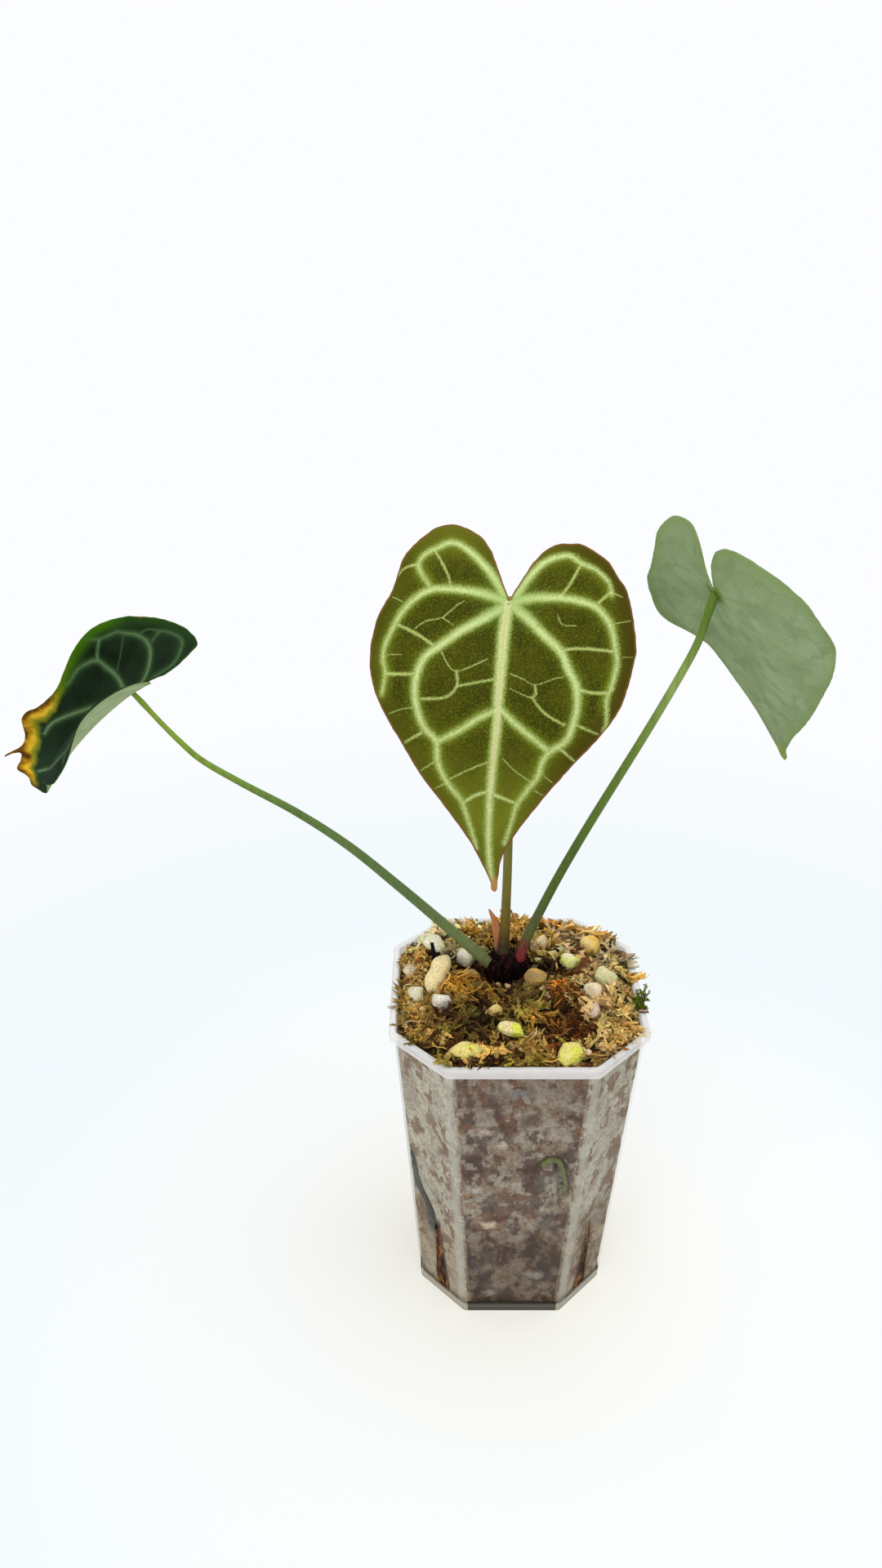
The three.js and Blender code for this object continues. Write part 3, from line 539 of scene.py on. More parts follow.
# The upper tint lays painted shade under the lip.
side = coats(
    tree, side, MIX_TINTS, ("clump", fade(tree, clumps, 0.52, 0.56), 0.6),
    ("rot", fade(tree, clumps, 0.48, 0.445), 0.85), ("upper", fade(tree, z, 80, 97), 0.45),
    ("rust", fade(tree, cloud(tree, 3.6, 3, 0.6, 0.8, 3.0), 0.53, 0.57), 0.5),
    ("chip", fade(tree, chips.outputs["Distance"], 0.42, 0.3), chosen, 0.6),
)
side = coat(tree, side, (0.48, 0.38, 0.32), low_down, 0.9, way="MULTIPLY")
on_front = fade(tree, y, -19, -23)
for mark_x, mark_z, half_width, half_height, tint in WALL_MARKS:
    middle = (mark_x + DRIFT / 2, 0, mark_z + DRIFT / 2)
    size = (1 / half_width, 0, 1 / half_height)
    reach = vector_calc(tree, "MULTIPLY", vector_calc(tree, "SUBTRACT", warped, middle), size)
    there = fade(tree, vector_calc(tree, "LENGTH", reach), 1.3, 0.4)
    side = coat(tree, side, tint, there, on_front, 0.85)
on_cut = fade(tree, scaled(tree, z, -0.121, calc(tree, "ADD", east, north)), 41.5, 42.4)
pale = scaled(tree, fade(tree, cloud(tree, 9, 3, 0.6, shift=7.0), 0.42, 0.55), 0.35, 0.5)
streaks = fade(tree, cloud(tree, 4.2, 4, 0.62, 0.7, 6.0), 0.515, 0.55)
side = coats(tree, side, MIX_TINTS, ("corner", on_cut, pale), ("streak", on_cut, streaks, 0.85))
side = coat(tree, side, (0.76, 0.66, 0.56), on_cut, low_down, way="MULTIPLY")
fibre = cloud(tree, 1.3, 4, 0.7)
side = coat(tree, side, (0.45, 0.38, 0.34), fade(tree, fibre, 0.52, 0.42), 0.6, way="MULTIPLY")
off_corner = calc(tree, "ABSOLUTE", calc(tree, "SUBTRACT", east, north))
by_slot = fade(tree, scaled(tree, z, 0.094, off_corner), 5.2, 4.2)
slot_tint = colour_steps(tree, cloud(tree, 1.6, 3, 0.6, 0.3), [
    (0.42, (0.018, 0.007, 0.003)), (0.55, (0.09, 0.035, 0.009)),
    (0.66, (0.28, 0.125, 0.025)),
])
side = coat(tree, side, slot_tint, by_slot, on_cut, fade(tree, z, SLOT_HIGH + 3, SLOT_HIGH))
at_foot = fade(tree, z, 6, 2)
side = coats(tree, side, MIX_TINTS, ("foot", at_foot, scaled(tree, on_cut, -0.75, 0.75)))
# The top of the mix is nearly black between lighter flecks so the gaps between the strands read
# dark: partly the damp mix's own colour, partly painted shade.
top = colour_steps(tree, cloud(tree, 3, 4, 0.6), [
    (0.35, (0.012, 0.005, 0.001)), (0.6, (0.06, 0.03, 0.007)),
    (0.8, (0.20, 0.11, 0.025)),
])
by_wall = fade(tree, calc(tree, "MAXIMUM", east, north), 32, 34.5)
top = coats(tree, top, MIX_TINTS, ("rim", by_wall, 0.75))
dress(tree, shader, coat(tree, side, top, fade(tree, z, 102.8, 103.6)), fibre, 0.4, 0.6)
make_piece("moss_and_pumice_mix", bm, mix, ["soil"])

# Pumice.
# Broken grains of pumice, rinsed and chalky, some stained by algae and some by tannin.
# They lie bedded in the top of the mix.
GRAIN_BED = [
    # centre, half sizes, turn, then colour of the stone and of its stain
    ((-24, 2.2, 109.5), (3.6, 5.2, 3.4), 0.5, "shell", "shell"),
    ((-25.5, 21, 108.6), (4.6, 3.8, 3.2), 2.1, "green", "white"),
    ((-15, 12.5, 108.6), (3, 3, 2.8), 0.8, "white", "green"),
    ((-14, 4.5, 107.4), (2.8, 3, 2.4), 1.7, "brown", "cream"),
    ((-23.2, -9, 108.2), (3.2, 3.4, 2.8), 2.6, "white", "white"),
    ((-30.2, -4.2, 107.6), (2.8, 2.8, 2.3), 0.2, "white", "green"),
    ((-32, 6.5, 107.4), (2, 2.4, 2), 1.2, "grey", "cream"),
    ((-15, -29, 106), (5.2, 3.2, 3), 0.15, "yellow", "lime"),
    ((-2.3, -22.4, 108.6), (4, 2.6, 2.4), 2.7, "lime", "cream"),
    ((13.3, -30.8, 106.7), (4.1, 3.4, 3.2), 1.1, "lime", "yellow"),
    ((22.5, -5.5, 109), (2.5, 3.4, 3.6), 0.4, "cream", "white"),
    ((21.5, -13.5, 107.6), (2.2, 3.4, 3), 2.9, "pink", "white"),
    ((27.5, 2.5, 108.6), (3, 3.8, 3.2), 1.5, "green", "cream"),
    ((17.5, 9.5, 109.2), (2.8, 3.8, 3.2), 2.2, "white", "lime"),
    ((24.5, 20, 108.8), (3.5, 3, 2.7), 0.7, "amber", "yellow"),
    ((8.5, 20, 108.8), (2.2, 3, 3.2), 1.9, "cream", "amber"),
    ((7, 2.4, 107.4), (3.2, 4.6, 2.8), 0.9, "brown", "amber"),
    ((-7.5, -13.5, 107.8), (2, 3.2, 3), 2.4, "yellow", "amber"),
]
STONE_TINTS = {
    "shell": (0.93, 0.76, 0.40), "cream": (0.88, 0.70, 0.42), "green": (0.66, 0.68, 0.34),
    "lime": (0.74, 0.76, 0.09), "white": (0.88, 0.82, 0.68),
    "brown": (0.36, 0.23, 0.09), "grey": (0.56, 0.48, 0.36),
    "yellow": (0.86, 0.64, 0.26), "pink": (0.76, 0.56, 0.44),
    "amber": (0.84, 0.52, 0.08),
}


def broken_stone(bm, centre, half, turn, seed, fineness=4, tilt=None, waist=0):
    """An icosphere cut down to a few soft facets, then roughened."""
    draw = random.Random(seed)
    facets = []
    for _ in range(11):
        z = draw.uniform(-1, 1)
        heading = draw.uniform(0, math.tau)
        flat = math.sqrt(1 - z * z)
        facets.append((Vector((flat * math.cos(heading), flat * math.sin(heading), z)),
                       draw.uniform(0.72, 1.0)))
    made = bmesh.ops.create_icosphere(bm, subdivisions=fineness, radius=1)["verts"]
    for vert in made:
        way = vert.co.normalized()
        nearest = sum(max(0, way.dot(out) / far) ** 15 for out, far in facets)
        reach = (nearest + (0.87 + 0.2 * (waist > 0)) ** 15) ** (-1 / 15)
        rough = noise.fractal(way * 2.4 + Vector((seed, 0, 0)), 1.0, 2.0, 4)
        vert.co = way * reach * (1 + (0.02 if waist else 0.06) * rough)
        pinch = 1 - waist * math.exp(-(vert.co.y / 0.3) ** 2)
        vert.co = Vector((vert.co.x * pinch, vert.co.y, vert.co.z * pinch))
    size = Matrix.Diagonal((*half, 1))
    tilt = turn * 0.4 if tilt is None else tilt
    spin = Matrix.Rotation(turn, 4, "Z") @ Matrix.Rotation(tilt, 4, "X")
    where = Matrix.Translation(centre) @ spin @ size
    bmesh.ops.transform(bm, matrix=where, verts=made)
    return made


def pumice_material(stone, stain):
    material, tree, shader = new_material("pumice_" + stone + "_" + stain, 0.72, 0.35)
    cover = fade(tree, cloud(tree, 4.5, 3, 0.6), 0.4, 0.66)
    tint = coat(tree, STONE_TINTS[stone], STONE_TINTS[stain], cover)
    pores = fade(tree, cloud(tree, 0.55, 3, 0.7), 0.34, 0.56)
    tint = coat(tree, coat(tree, tint, (0.3, 0.19, 0.06), 0.45), tint, pores)
    dirt = fade(tree, cloud(tree, 1.8, 4, 0.7), 0.60, 0.74)
    tint = coat(tree, tint, (0.2, 0.11, 0.03), dirt, 0.7)
    shader.inputs["Subsurface Weight"].default_value = 0.2
    shader.inputs["Subsurface Radius"].default_value = (0.002, 0.0015, 0.0008)
    dress(tree, shader, tint, pores, 0.5, 0.35)
    return material


stone_finishes = {}
for number, (centre, half, turn, stone, stain) in enumerate(GRAIN_BED, 1):
    bm = bmesh.new()
    if number == 1:  # two lobes grown together, like a peanut in its shell
        broken_stone(bm, (-23.8, 2.4, 110.4), (3.9, 7.8, 3.8), -0.36, 33, tilt=0.36, waist=0.24)
    else:
        broken_stone(bm, centre, half, turn, 40 + number)
    if (stone, stain) not in stone_finishes:
        stone_finishes[stone, stain] = pumice_material(stone, stain)
    node = "pumice_%02d" % number
    make_piece("grain_%02d" % number, bm, stone_finishes[stone, stain], [node])

CRUMBS = 40
bm = bmesh.new()
draw = random.Random(77)
crumbs = 0
while crumbs < CRUMBS:
    x, y = draw.uniform(-33, 33), draw.uniform(-33, 33)
    if abs(x) + abs(y) > 52 or math.hypot(x - CROWN.x, y - CROWN.y) < 9:
        continue
    size = draw.uniform(0.5, 1.3)
    half = (size, size * draw.uniform(0.6, 1.2), size * draw.uniform(0.6, 1))
    broken_stone(bm, (x, y, ground(x, y) + draw.uniform(0.2, 1.4)), half, draw.uniform(0, 3),
                 200 + crumbs, fineness=2)
    crumbs += 1
make_piece("pumice_crumbs", bm, pumice_material("brown", "cream"))

# Moss.
# Dried strands of long-fibre moss, each a thin stem with scale-like leaves. They lie
# across each other over the mix, some arch up, and some hang over the lip.
MOSS_DYES = {
    "ochre": (0.56, 0.36, 0.09), "straw": (0.74, 0.55, 0.22), "golden": (0.62, 0.33, 0.05),
    "orange": (0.58, 0.24, 0.035), "tan": (0.62, 0.39, 0.12), "rust": (0.27, 0.092, 0.02),
    "umber": (0.10, 0.04, 0.012),
    "olive": (0.36, 0.29, 0.045), "fresh": (0.34, 0.42, 0.04), "beige": (0.68, 0.54, 0.30),
    "leaf_green": (0.10, 0.13, 0.003), "cream": (0.86, 0.74, 0.42),
}
# where one colour gathers: x, y, reach, colours
MOSS_DRIFTS = [
    (-30, -12, 11, ("ochre", "straw", "beige")),
    (-31, 8, 10, ("ochre", "straw", "ochre", "golden")),
    (-17, -19, 10, ("umber", "olive", "ochre")), (-14, -1, 7, ("golden", "orange", "ochre")),
    (1, -9, 9, ("ochre", "olive", "golden", "umber")),
    (-4, -28, 10, ("ochre", "umber", "olive", "golden")),
    (14, -14, 9, ("rust", "umber", "orange")), (15, -23, 9, ("rust", "tan", "umber")),
    (28, -20, 11, ("straw", "ochre", "tan")), (30, -2, 9, ("straw", "ochre", "olive")),
    (12, 12, 8, ("ochre", "umber", "beige")), (22, 27, 10, ("beige", "straw", "ochre")),
    (-6, 27, 9, ("golden", "ochre", "tan")), (7, 27, 8, ("ochre", "beige", "golden")),
    (-22, 28, 10, ("cream", "beige", "straw")), (-16, 12, 7, ("umber", "rust", "ochre")),
]
# where painted shade darkens the moss: x, y, reach, share of its colour kept
MOSS_SHADE_SPOTS = [
    (-20, -17, 8, 0.35), (-11, -21, 6, 0.4), (11, -15, 8, 0.22), (4, -23, 6, 0.5),
    (0, -7, 6, 0.6), (-2, 2, 6, 0.06), (-14, 14, 6, 0.35),
    (-12, -6, 5, 0.5), (8, 9, 4, 0.35), (20, -19, 4, 0.6),
]


def strand_template(seed, length, leafy):
    """One strand along +X: a thin stem on a winding path, with or without leaves."""
    draw = random.Random(seed)
    steps = 9
    point = Vector((0, 0, -1.2))
    heading, climb = draw.uniform(-0.5, 0.5), draw.uniform(0.3, 0.9)
    path = [point.copy()]
    for step in range(steps):
        heading += draw.uniform(-0.5, 0.5)
        climb += draw.uniform(-0.5, 0.12) - 0.04
        climb = max(climb, -0.9)
        way = Vector((math.cos(heading) * math.cos(climb), math.sin(heading) * math.cos(climb),
                      math.sin(climb)))
        point = point + way * (length / steps)
        point.z = max(point.z, -1)
        path.append(point.copy())
    thick = draw.uniform(0.4, 0.75) if leafy else draw.uniform(0.3, 0.6)
    bm = bmesh.new()
    ring = None
    for step, centre in enumerate(path):
        ahead = path[min(step + 1, steps)] - path[max(step - 1, 0)]
        turn = ahead.to_track_quat("X", "Z")
        radius = thick * (1 - 0.6 * step / steps)
        points = [
            centre + turn @ (Vector((0, math.cos(angle), 0.7 * math.sin(angle))) * radius)
            for angle in (0.5, 2.6, 4.7)
        ]
        ring = raise_ring(bm, ring, points) if ring else first_ring(bm, points)
        if not leafy or step == 0:
            continue
        for _ in range(3):
            spread = draw.uniform(0, math.tau)
            size = draw.uniform(0.85, 1.7) * (1 - 0.35 * step / steps)
            lean = turn @ Quaternion((1, 0, 0), spread) @ Quaternion((0, 0, 1), 0.75)
            shape = Matrix.Diagonal((size * 1.5, size * 0.62, 1, 1))
            place = (
                Matrix.Translation(centre + lean @ Vector((size, 0, 0)))
                @ lean.to_matrix().to_4x4() @ shape @ Matrix.Rotation(math.pi / 4, 4, "Z")
            )
            bmesh.ops.create_grid(bm, x_segments=1, y_segments=1, size=0.55, matrix=place)
    mesh = bpy.data.meshes.new("strand")
    bm.to_mesh(mesh)
    bm.free()
    return mesh


# templates, each from its own seed, in six lengths
LEAFY_STRANDS = [strand_template(500 + k, 7 + 1.1 * (k % 6), True) for k in range(14)]
BARE_STRANDS = [strand_template(700 + k, 9 + 1.5 * (k % 6), False) for k in range(8)]


def dyed_strand(bm, dye_layer, template, place, dye, draw):
    """A copy of a strand with its own shade of a colour."""
    known = len(bm.verts)
    bm.from_mesh(template)
    bm.verts.ensure_lookup_table()
    fresh = bm.verts[known:]
    bmesh.ops.transform(bm, matrix=place, verts=fresh)
    shade = draw.uniform(0.6, 1.35)
    base = Vector([min(1, channel * shade * draw.uniform(0.92, 1.08)) for channel in dye])
    for vert in fresh:
        vert[dye_layer] = (*base, 1)
    return fresh, base


OVERHANG = 0.45  # share of a strand's reach past the lip that is kept


def lay_strand(bm, dye_layer, template, x, y, turn, lift, size, dye, draw, in_shade_spots=True):
    """Lays a strand on the heap, where it follows the ground; its colour has painted shade near the
    ground and in the shade spots, and a painted highlight higher up.
    """
    place = Matrix.Translation((x, y, 0)) @ Matrix.Rotation(turn, 4, "Z") @ Matrix.Scale(size, 4)
    fresh, base = dyed_strand(bm, dye_layer, template, place, dye, draw)
    for hx, hy, reach, kept in MOSS_SHADE_SPOTS if in_shade_spots else ():
        base *= 1 - (1 - kept) * math.exp(-((x - hx) ** 2 + (y - hy) ** 2) / (reach * reach))
    for vert in fresh:
        held = Vector((vert.co.x, vert.co.y, min(vert.co.z + ground(x, y), lip_z)))
        inside = press_inside(held, POT_WALL + 0.3)
        floor_z = ground(inside.x, inside.y)
        z = floor_z + vert.co.z + lift
        if z < POT_HEIGHT + 0.6:
            vert.co.x, vert.co.y = inside.x, inside.y
        else:  # what hangs over the lip is short
            held = Vector((vert.co.x, vert.co.y, lip_z))
            over = press_inside(held, -LIP_REACH - 0.3)
            vert.co.xy = (over + (held - over) * OVERHANG).xy
        vert.co.z = z
        # Painted shade and highlight: the colour is darker near the ground and up to 1.45 times
        # lighter higher up.
        vert[dye_layer] = (*(base * min(1.45, max(0.28, 0.5 + 0.27 * (z - floor_z)))), 1)


def attribute(tree, name, output="Fac"):
    node = tree.nodes.new("ShaderNodeAttribute")
    node.attribute_name = name
    return node.outputs[output]


def dye_at(x, y, draw):
    """A colour for a strand from the drifts that reach this spot."""
    near = []
    for dx, dy, reach, dyes in MOSS_DRIFTS:
        closeness = math.exp(-((x - dx) ** 2 + (y - dy) ** 2) / (reach * reach))
        near.append((closeness, dyes))
    total = sum(closeness for closeness, _ in near)
    mark = draw.uniform(0, total)
    for closeness, dyes in near:
        mark -= closeness
        if mark <= 0:
            break
    return MOSS_DYES[dyes[0] if draw.random() < 0.5 else draw.choice(dyes)]


moss, tree, shader = new_material("dried_moss_fibre", 0.8, 0.12)
dye = attribute(tree, "dye", "Color")
dull_dye = coat(tree, dye, (0.62, 0.55, 0.42), 1.0, way="MULTIPLY")
dye = coat(tree, dull_dye, dye, fade(tree, cloud(tree, 0.9, 3, 0.6), 0.35, 0.65))
dress(tree, shader, dye, cloud(tree, 0.4, 2, 0.5), 0.4, 0.2)


def strand_bed(seed):
    """An empty mesh for strands, its layer for their dyes and its random draws."""
    bm = bmesh.new()
    return bm, bm.verts.layers.float_color.new("dye"), random.Random(seed)


def on_grain(x, y, share):
    return any(
        math.hypot(x - centre[0], y - centre[1]) < share * min(half[0], half[1])
        for centre, half, *_ in GRAIN_BED
    )


STREWN = 34.5  # half the width of the square that strands are strewn over
STREWN_CORNER = 53  # the most that x and y may add up to
CROWN_CLEAR = 8.8


def moss_layer(name, seed, count, templates, lift, sizes, off_grain):
    bm, layer, draw = strand_bed(seed)
    laid = 0
    while laid < count:
        x, y = draw.uniform(-STREWN, STREWN), draw.uniform(-STREWN, STREWN)
        turn = draw.uniform(0, math.tau)
        start, middle, end = (
            (x + math.cos(turn) * along, y + math.sin(turn) * along) for along in (0, 4, 8)
        )
        if abs(x) + abs(y) > STREWN_CORNER:
            continue
        if on_grain(*start, off_grain) or on_grain(*middle, off_grain):
            continue
        if any(math.hypot(a - CROWN.x, b - CROWN.y + 2) < CROWN_CLEAR
               for a, b in (start, middle, end)):
            continue
        lay_strand(bm, layer, draw.choice(templates), x, y, turn, draw.uniform(*lift),
                   draw.uniform(*sizes), dye_at(x, y, draw), draw)
        laid += 1
    make_piece(name, bm, moss, smooth=False)


moss_layer("moss_leafy_low", 1, 700, LEAFY_STRANDS, (-0.6, 0.8), (0.8, 1.3), 0.95)
moss_layer("moss_leafy_high", 2, 330, LEAFY_STRANDS, (0.8, 2.8), (0.8, 1.45), 1.05)
moss_layer("moss_bare", 3, 230, BARE_STRANDS, (0.2, 2.4), (0.6, 1.2), 1.0)

# Strands that lie over the lip: ochre and tan ones at the sides, darker ones at the
# front, and golden and cream ones at the back.
RIM_STRANDS = [
    # x, y, heading, spread, count, colours
    (-33, 4, 3.0, 0.8, 30, ("ochre", "straw", "tan")), (-33, -9, 3.2, 0.7, 30, ("ochre", "tan")),
    (-28, -24, -2.4, 0.7, 22, ("umber", "ochre", "tan")),
    (-32, 16, 2.6, 0.8, 34, ("tan", "ochre", "straw")),
    (-33, -18, 3.1, 0.6, 16, ("golden", "tan", "rust")),
    (33, -14, -0.2, 0.6, 20, ("ochre", "straw", "tan")), (30, -24, -0.7, 0.6, 22, ("tan", "ochre")),
    (32.5, 4, 0.3, 0.7, 14, ("straw", "ochre")),
    (29, 23, 0.7, 0.8, 16, ("ochre", "beige", "umber")),
    (0, 32, 1.6, 0.9, 44, ("golden", "ochre", "tan")),
    (-18, 32, 1.9, 0.8, 50, ("straw", "cream", "beige")),
    (16, 32, 1.3, 0.8, 50, ("beige", "tan", "straw")), (4, -33, -1.4, 1.2, 10, ("umber", "olive")),
    (-16, -32, -1.8, 1.2, 12, ("umber", "ochre")), (22, -30, -1.2, 1.0, 12, ("ochre", "tan")),
]
bm, layer, draw = strand_bed(21)
for x, y, heading, spread, count, dyes in RIM_STRANDS:
    raised = 3.4 if y > 12 else 2.6
    for k in range(count):
        turn = heading + draw.uniform(-spread, spread)
        along = draw.uniform(-6.5, 6.5)
        start = (x - math.sin(heading) * along - math.cos(heading) * draw.uniform(2, 6.5),
                 y + math.cos(heading) * along - math.sin(heading) * draw.uniform(2, 6.5))
        lay_strand(bm, layer, draw.choice(LEAFY_STRANDS), *start, turn, draw.uniform(1.2, raised),
                   draw.uniform(0.4, 0.66), MOSS_DYES[draw.choice(dyes)], draw, in_shade_spots=False)
make_piece("moss_over_the_lip", bm, moss, smooth=False)

# Moss tufts.
# Three knots of longer strands: a golden fan by the peanut-shaped grain, an olive one
# in front of the crown and a rust one before the right-hand grains.
TUFTS = [
    # node, root, heading, fan, strands, dyes
    ("moss_tuft_golden", (-20.3, 0.6), -1.08, 0.5, 60, ("golden", "orange", "golden", "golden")),
    ("moss_tuft_olive", (1.5, -12), -0.9, 1.2, 30, ("olive", "ochre", "golden", "olive")),
    ("moss_tuft_rust", (15.5, -4), -1.75, 1.5, 46, ("rust", "orange", "rust", "umber")),
]
for number, (node, (x, y), heading, fan, count, dyes) in enumerate(TUFTS):
    bm, layer, draw = strand_bed(60 + number)
    for k in range(count):
        turn = heading + fan * (draw.random() - 0.5)
        back = draw.uniform(-2.5, 3)
        aside = 1.1 if number == 0 else 1.5
        start = (x + math.cos(turn) * back + draw.uniform(-aside, aside),
                 y + math.sin(turn) * back + draw.uniform(-aside, aside))
        template = draw.choice(LEAFY_STRANDS if k % 3 else BARE_STRANDS)
        lay_strand(bm, layer, template, *start, turn, draw.uniform(0.8, 3.0),
                   draw.uniform(0.6, 0.9), MOSS_DYES[draw.choice(dyes)], draw, in_shade_spots=number == 2)
    make_piece(node + "_strands", bm, moss, [node], smooth=False)

# Living moss.
# A sprig of fresh moss that has grown out over the lip at the right-hand corner, deep
# green at its tips and yellow-green at its foot.
SPRIG = Vector((33.2, -9.6, 107))
bm, layer, draw = strand_bed(9)
for k in range(44):
    turn = draw.uniform(-1.1, 1.2)
    out = draw.uniform(0, 3.6)
    aside = draw.uniform(-1, 1) * (0.8 + 0.5 * out)
    place = (Matrix.Translation(SPRIG + Vector((out, aside, 0.7 * out)))
             @ Matrix.Rotation(turn, 4, "Z") @ Matrix.Rotation(-draw.uniform(-0.3, 0.9), 4, "Y")
             @ Matrix.Scale(draw.uniform(0.26, 0.44), 4))
    dye = MOSS_DYES["leaf_green"] if out > 1.7 or k % 3 == 0 else MOSS_DYES["fresh"]
    dyed_strand(bm, layer, draw.choice(LEAFY_STRANDS), place, dye, draw)
make_piece("living_sprig", bm, moss, ["moss_sprig"], smooth=False)

# Fibres in the slots.
# Golden and brown ends of moss that stand in the four side slots and poke out a little.
bm, layer, draw = strand_bed(13)
for corner in range(4):
    heading = math.pi / 4 + corner * math.pi / 2
    out = Vector((math.cos(heading), math.sin(heading), 0))
    for k in range(30):
        z = draw.uniform(SLOT_LOW + 1, SLOT_HIGH - 3)
        width, cut = wall_at(z, 0)
        half = (SLOT_FOOT + (SLOT_TOP - SLOT_FOOT) * (z - SLOT_LOW) / (SLOT_HIGH - SLOT_LOW)) / 2
        lean = draw.uniform(-0.25, 0.25)
        up = Vector((-out.y * math.sin(lean), out.x * math.sin(lean), math.cos(lean)))
        turned = Matrix((up, out.cross(up), out)).transposed().to_4x4()
        spot = out * ((width - cut) / math.sqrt(2) - draw.uniform(0.9, 1.6))
        spot += Vector((-out.y, out.x, 0)) * draw.uniform(-0.6, 0.6) * half + Vector((0, 0, z))
        place = Matrix.Translation(spot) @ turned @ Matrix.Scale(draw.uniform(0.22, 0.4), 4)
        dye = MOSS_DYES[draw.choice(("golden", "umber", "rust", "orange", "umber"))]
        template = draw.choice(BARE_STRANDS if k % 3 else LEAFY_STRANDS)
        dyed_strand(bm, layer, template, place, dye, draw)
make_piece("fibres_in_the_slots", bm, moss, smooth=False)

# Petioles.
# Three fleshy leaf stalks. Each is round with a shallow groove, flares where it leaves
# the crown and swells a little under its blade. Their colour runs from red to green.
MIDDLE_JOINT = Vector((-5.5, -3, 230.5))
LEFT_JOINT = Vector((-106.5, 11, 200.5))
RIGHT_JOINT = Vector((46, -6, 233.5))
PETIOLES = {  # route, radius at the foot and at the top, flare, colours from foot to top
    "middle": (
        [(-3.6, 11.5, 105), (-3.5, 11.2, 114), (-3.2, 10.7, 124), (-3.1, 9.2, 147),
         (-3.5, 7.6, 180), (-4.4, 4.6, 210), (-5, 0.8, 225), MIDDLE_JOINT],
        1.45, 1.2, 2.8,
        [(0.0, (0.02, 0.004, 0.006)), (0.08, (0.045, 0.020, 0.012)),
         (0.15, (0.15, 0.094, 0.014)), (0.25, (0.16, 0.135, 0.022)),
         (0.8, (0.14, 0.16, 0.025)), (1.0, (0.2, 0.27, 0.06))],
    ),
    "left": (
        [(-4.4, 10.4, 103.5), (-8, 9.2, 109.2), (-12.7, 8.8, 114.5), (-21.7, 9.1, 123.6),
         (-35.8, 9.4, 137.6), (-49.8, 9.7, 150.8), (-64.5, 10, 161.9), (-80, 10.3, 171.4),
         (-90.6, 10.6, 178.4), (-96.3, 10.7, 184.2),
         (-101.4, 10.8, 190.4), (-105.6, 11, 195.9), (-108.2, 11.3, 199)],
        1.85, 0.66, 1.95,
        [(0.0, (0.20, 0.17, 0.07)), (0.08, (0.15, 0.18, 0.065)),
         (0.3, (0.085, 0.15, 0.045)), (0.6, (0.08, 0.15, 0.03)),
         (0.85, (0.16, 0.26, 0.018)), (1.0, (0.24, 0.36, 0.035))],
    ),
    "right": (
        [(1.2, 10.2, 108), (3.4, 9.6, 118), (10.7, 7.2, 139), (18, 4.9, 157.3),
         (25.3, 2.6, 174.4), (32.2, 0.3, 190.5), (38.5, -2, 206), (43.2, -4, 219),
         (45, -5.4, 228.5), RIGHT_JOINT],
        1.45, 1.0, 1.75,
        [(0.0, (0.26, 0.012, 0.030)), (0.055, (0.17, 0.022, 0.030)),
         (0.1, (0.09, 0.10, 0.032)), (0.3, (0.055, 0.11, 0.012)),
         (0.62, (0.13, 0.22, 0.025)), (0.8, (0.27, 0.37, 0.09)),
         (0.93, (0.08, 0.16, 0.012))],
    ),
}


def smooth_route(points, count):
    """Evenly spaced points on a smooth curve through `points`."""
    points = [Vector(point) for point in points]
    knots = [points[0] * 2 - points[1], *points, points[-1] * 2 - points[-2]]
    fine = []
    for i in range(1, len(knots) - 2):
        p0, p1, p2, p3 = knots[i - 1:i + 3]
        for k in range(12):
            t = k / 12
            fine.append(0.5 * (2 * p1 + (p2 - p0) * t + (2 * p0 - 5 * p1 + 4 * p2 - p3) * t * t
                               + (3 * p1 - p0 - 3 * p2 + p3) * t ** 3))
    fine.append(points[-1])
    walked = np.cumsum([0] + [(b - a).length for a, b in zip(fine, fine[1:])])
    spots = np.linspace(0, walked[-1], count)
    axes = [np.interp(spots, walked, [point[k] for point in fine]) for k in range(3)]
    return [Vector(point) for point in zip(*axes)]


def grow_stem(bm, route, radius_at, sides, along_layer=None, groove=0.0):
    """Extrudes a ring along a route, with a radius that depends on the share walked."""
    last = len(route) - 1
    turn = (route[1] - route[0]).to_track_quat("Z", "Y")
    ring = None
    for step, centre in enumerate(route):
        ahead = (route[min(step + 1, last)] - route[max(step - 1, 0)]).normalized()
        turn = (turn @ Vector((0, 0, 1))).rotation_difference(ahead) @ turn
        share = step / last
        points = []
        for k in range(sides):
            angle = math.tau * k / sides
            dent = 1 - groove * math.exp(-((angle - math.pi) / 0.5) ** 2)
            reach = radius_at(share) * dent
            points.append(centre + turn @ Vector((math.cos(angle), math.sin(angle), 0)) * reach)
        if ring is None:
            ring = first_ring(bm, points)
            bm.faces.new(list(reversed(ring)))
        else:
            ring = raise_ring(bm, ring, points)
        if along_layer:
            for vert in ring:
                vert[along_layer] = share
    bm.faces.new(ring)


STALK_STEPS, STALK_SIDES = 150, 20


def stalk_material(name, steps):
    material, tree, shader = new_material(name, 0.55, 0.16)
    along = attribute(tree, "along")
    shifted = scaled(tree, cloud(tree, 6, 2), 0.05, calc(tree, "SUBTRACT", along, 0.025))
    tint = colour_steps(tree, shifted, steps)
    speckle = fade(tree, cloud(tree, 0.5, 3, 0.7, 0.35), 0.35, 0.7)
    tint = coat(tree, tint, (0.26, 0.27, 0.08), speckle, 0.2)
    streak = fade(tree, cloud(tree, 1.4, 2, 0.5, 0.08), 0.45, 0.7)
    tint = coat(tree, tint, (0.04, 0.05, 0.015), streak, 0.25)
    dress(tree, shader, tint, cloud(tree, 0.7, 3, 0.6, 0.2), 0.25, 0.2)
    return material


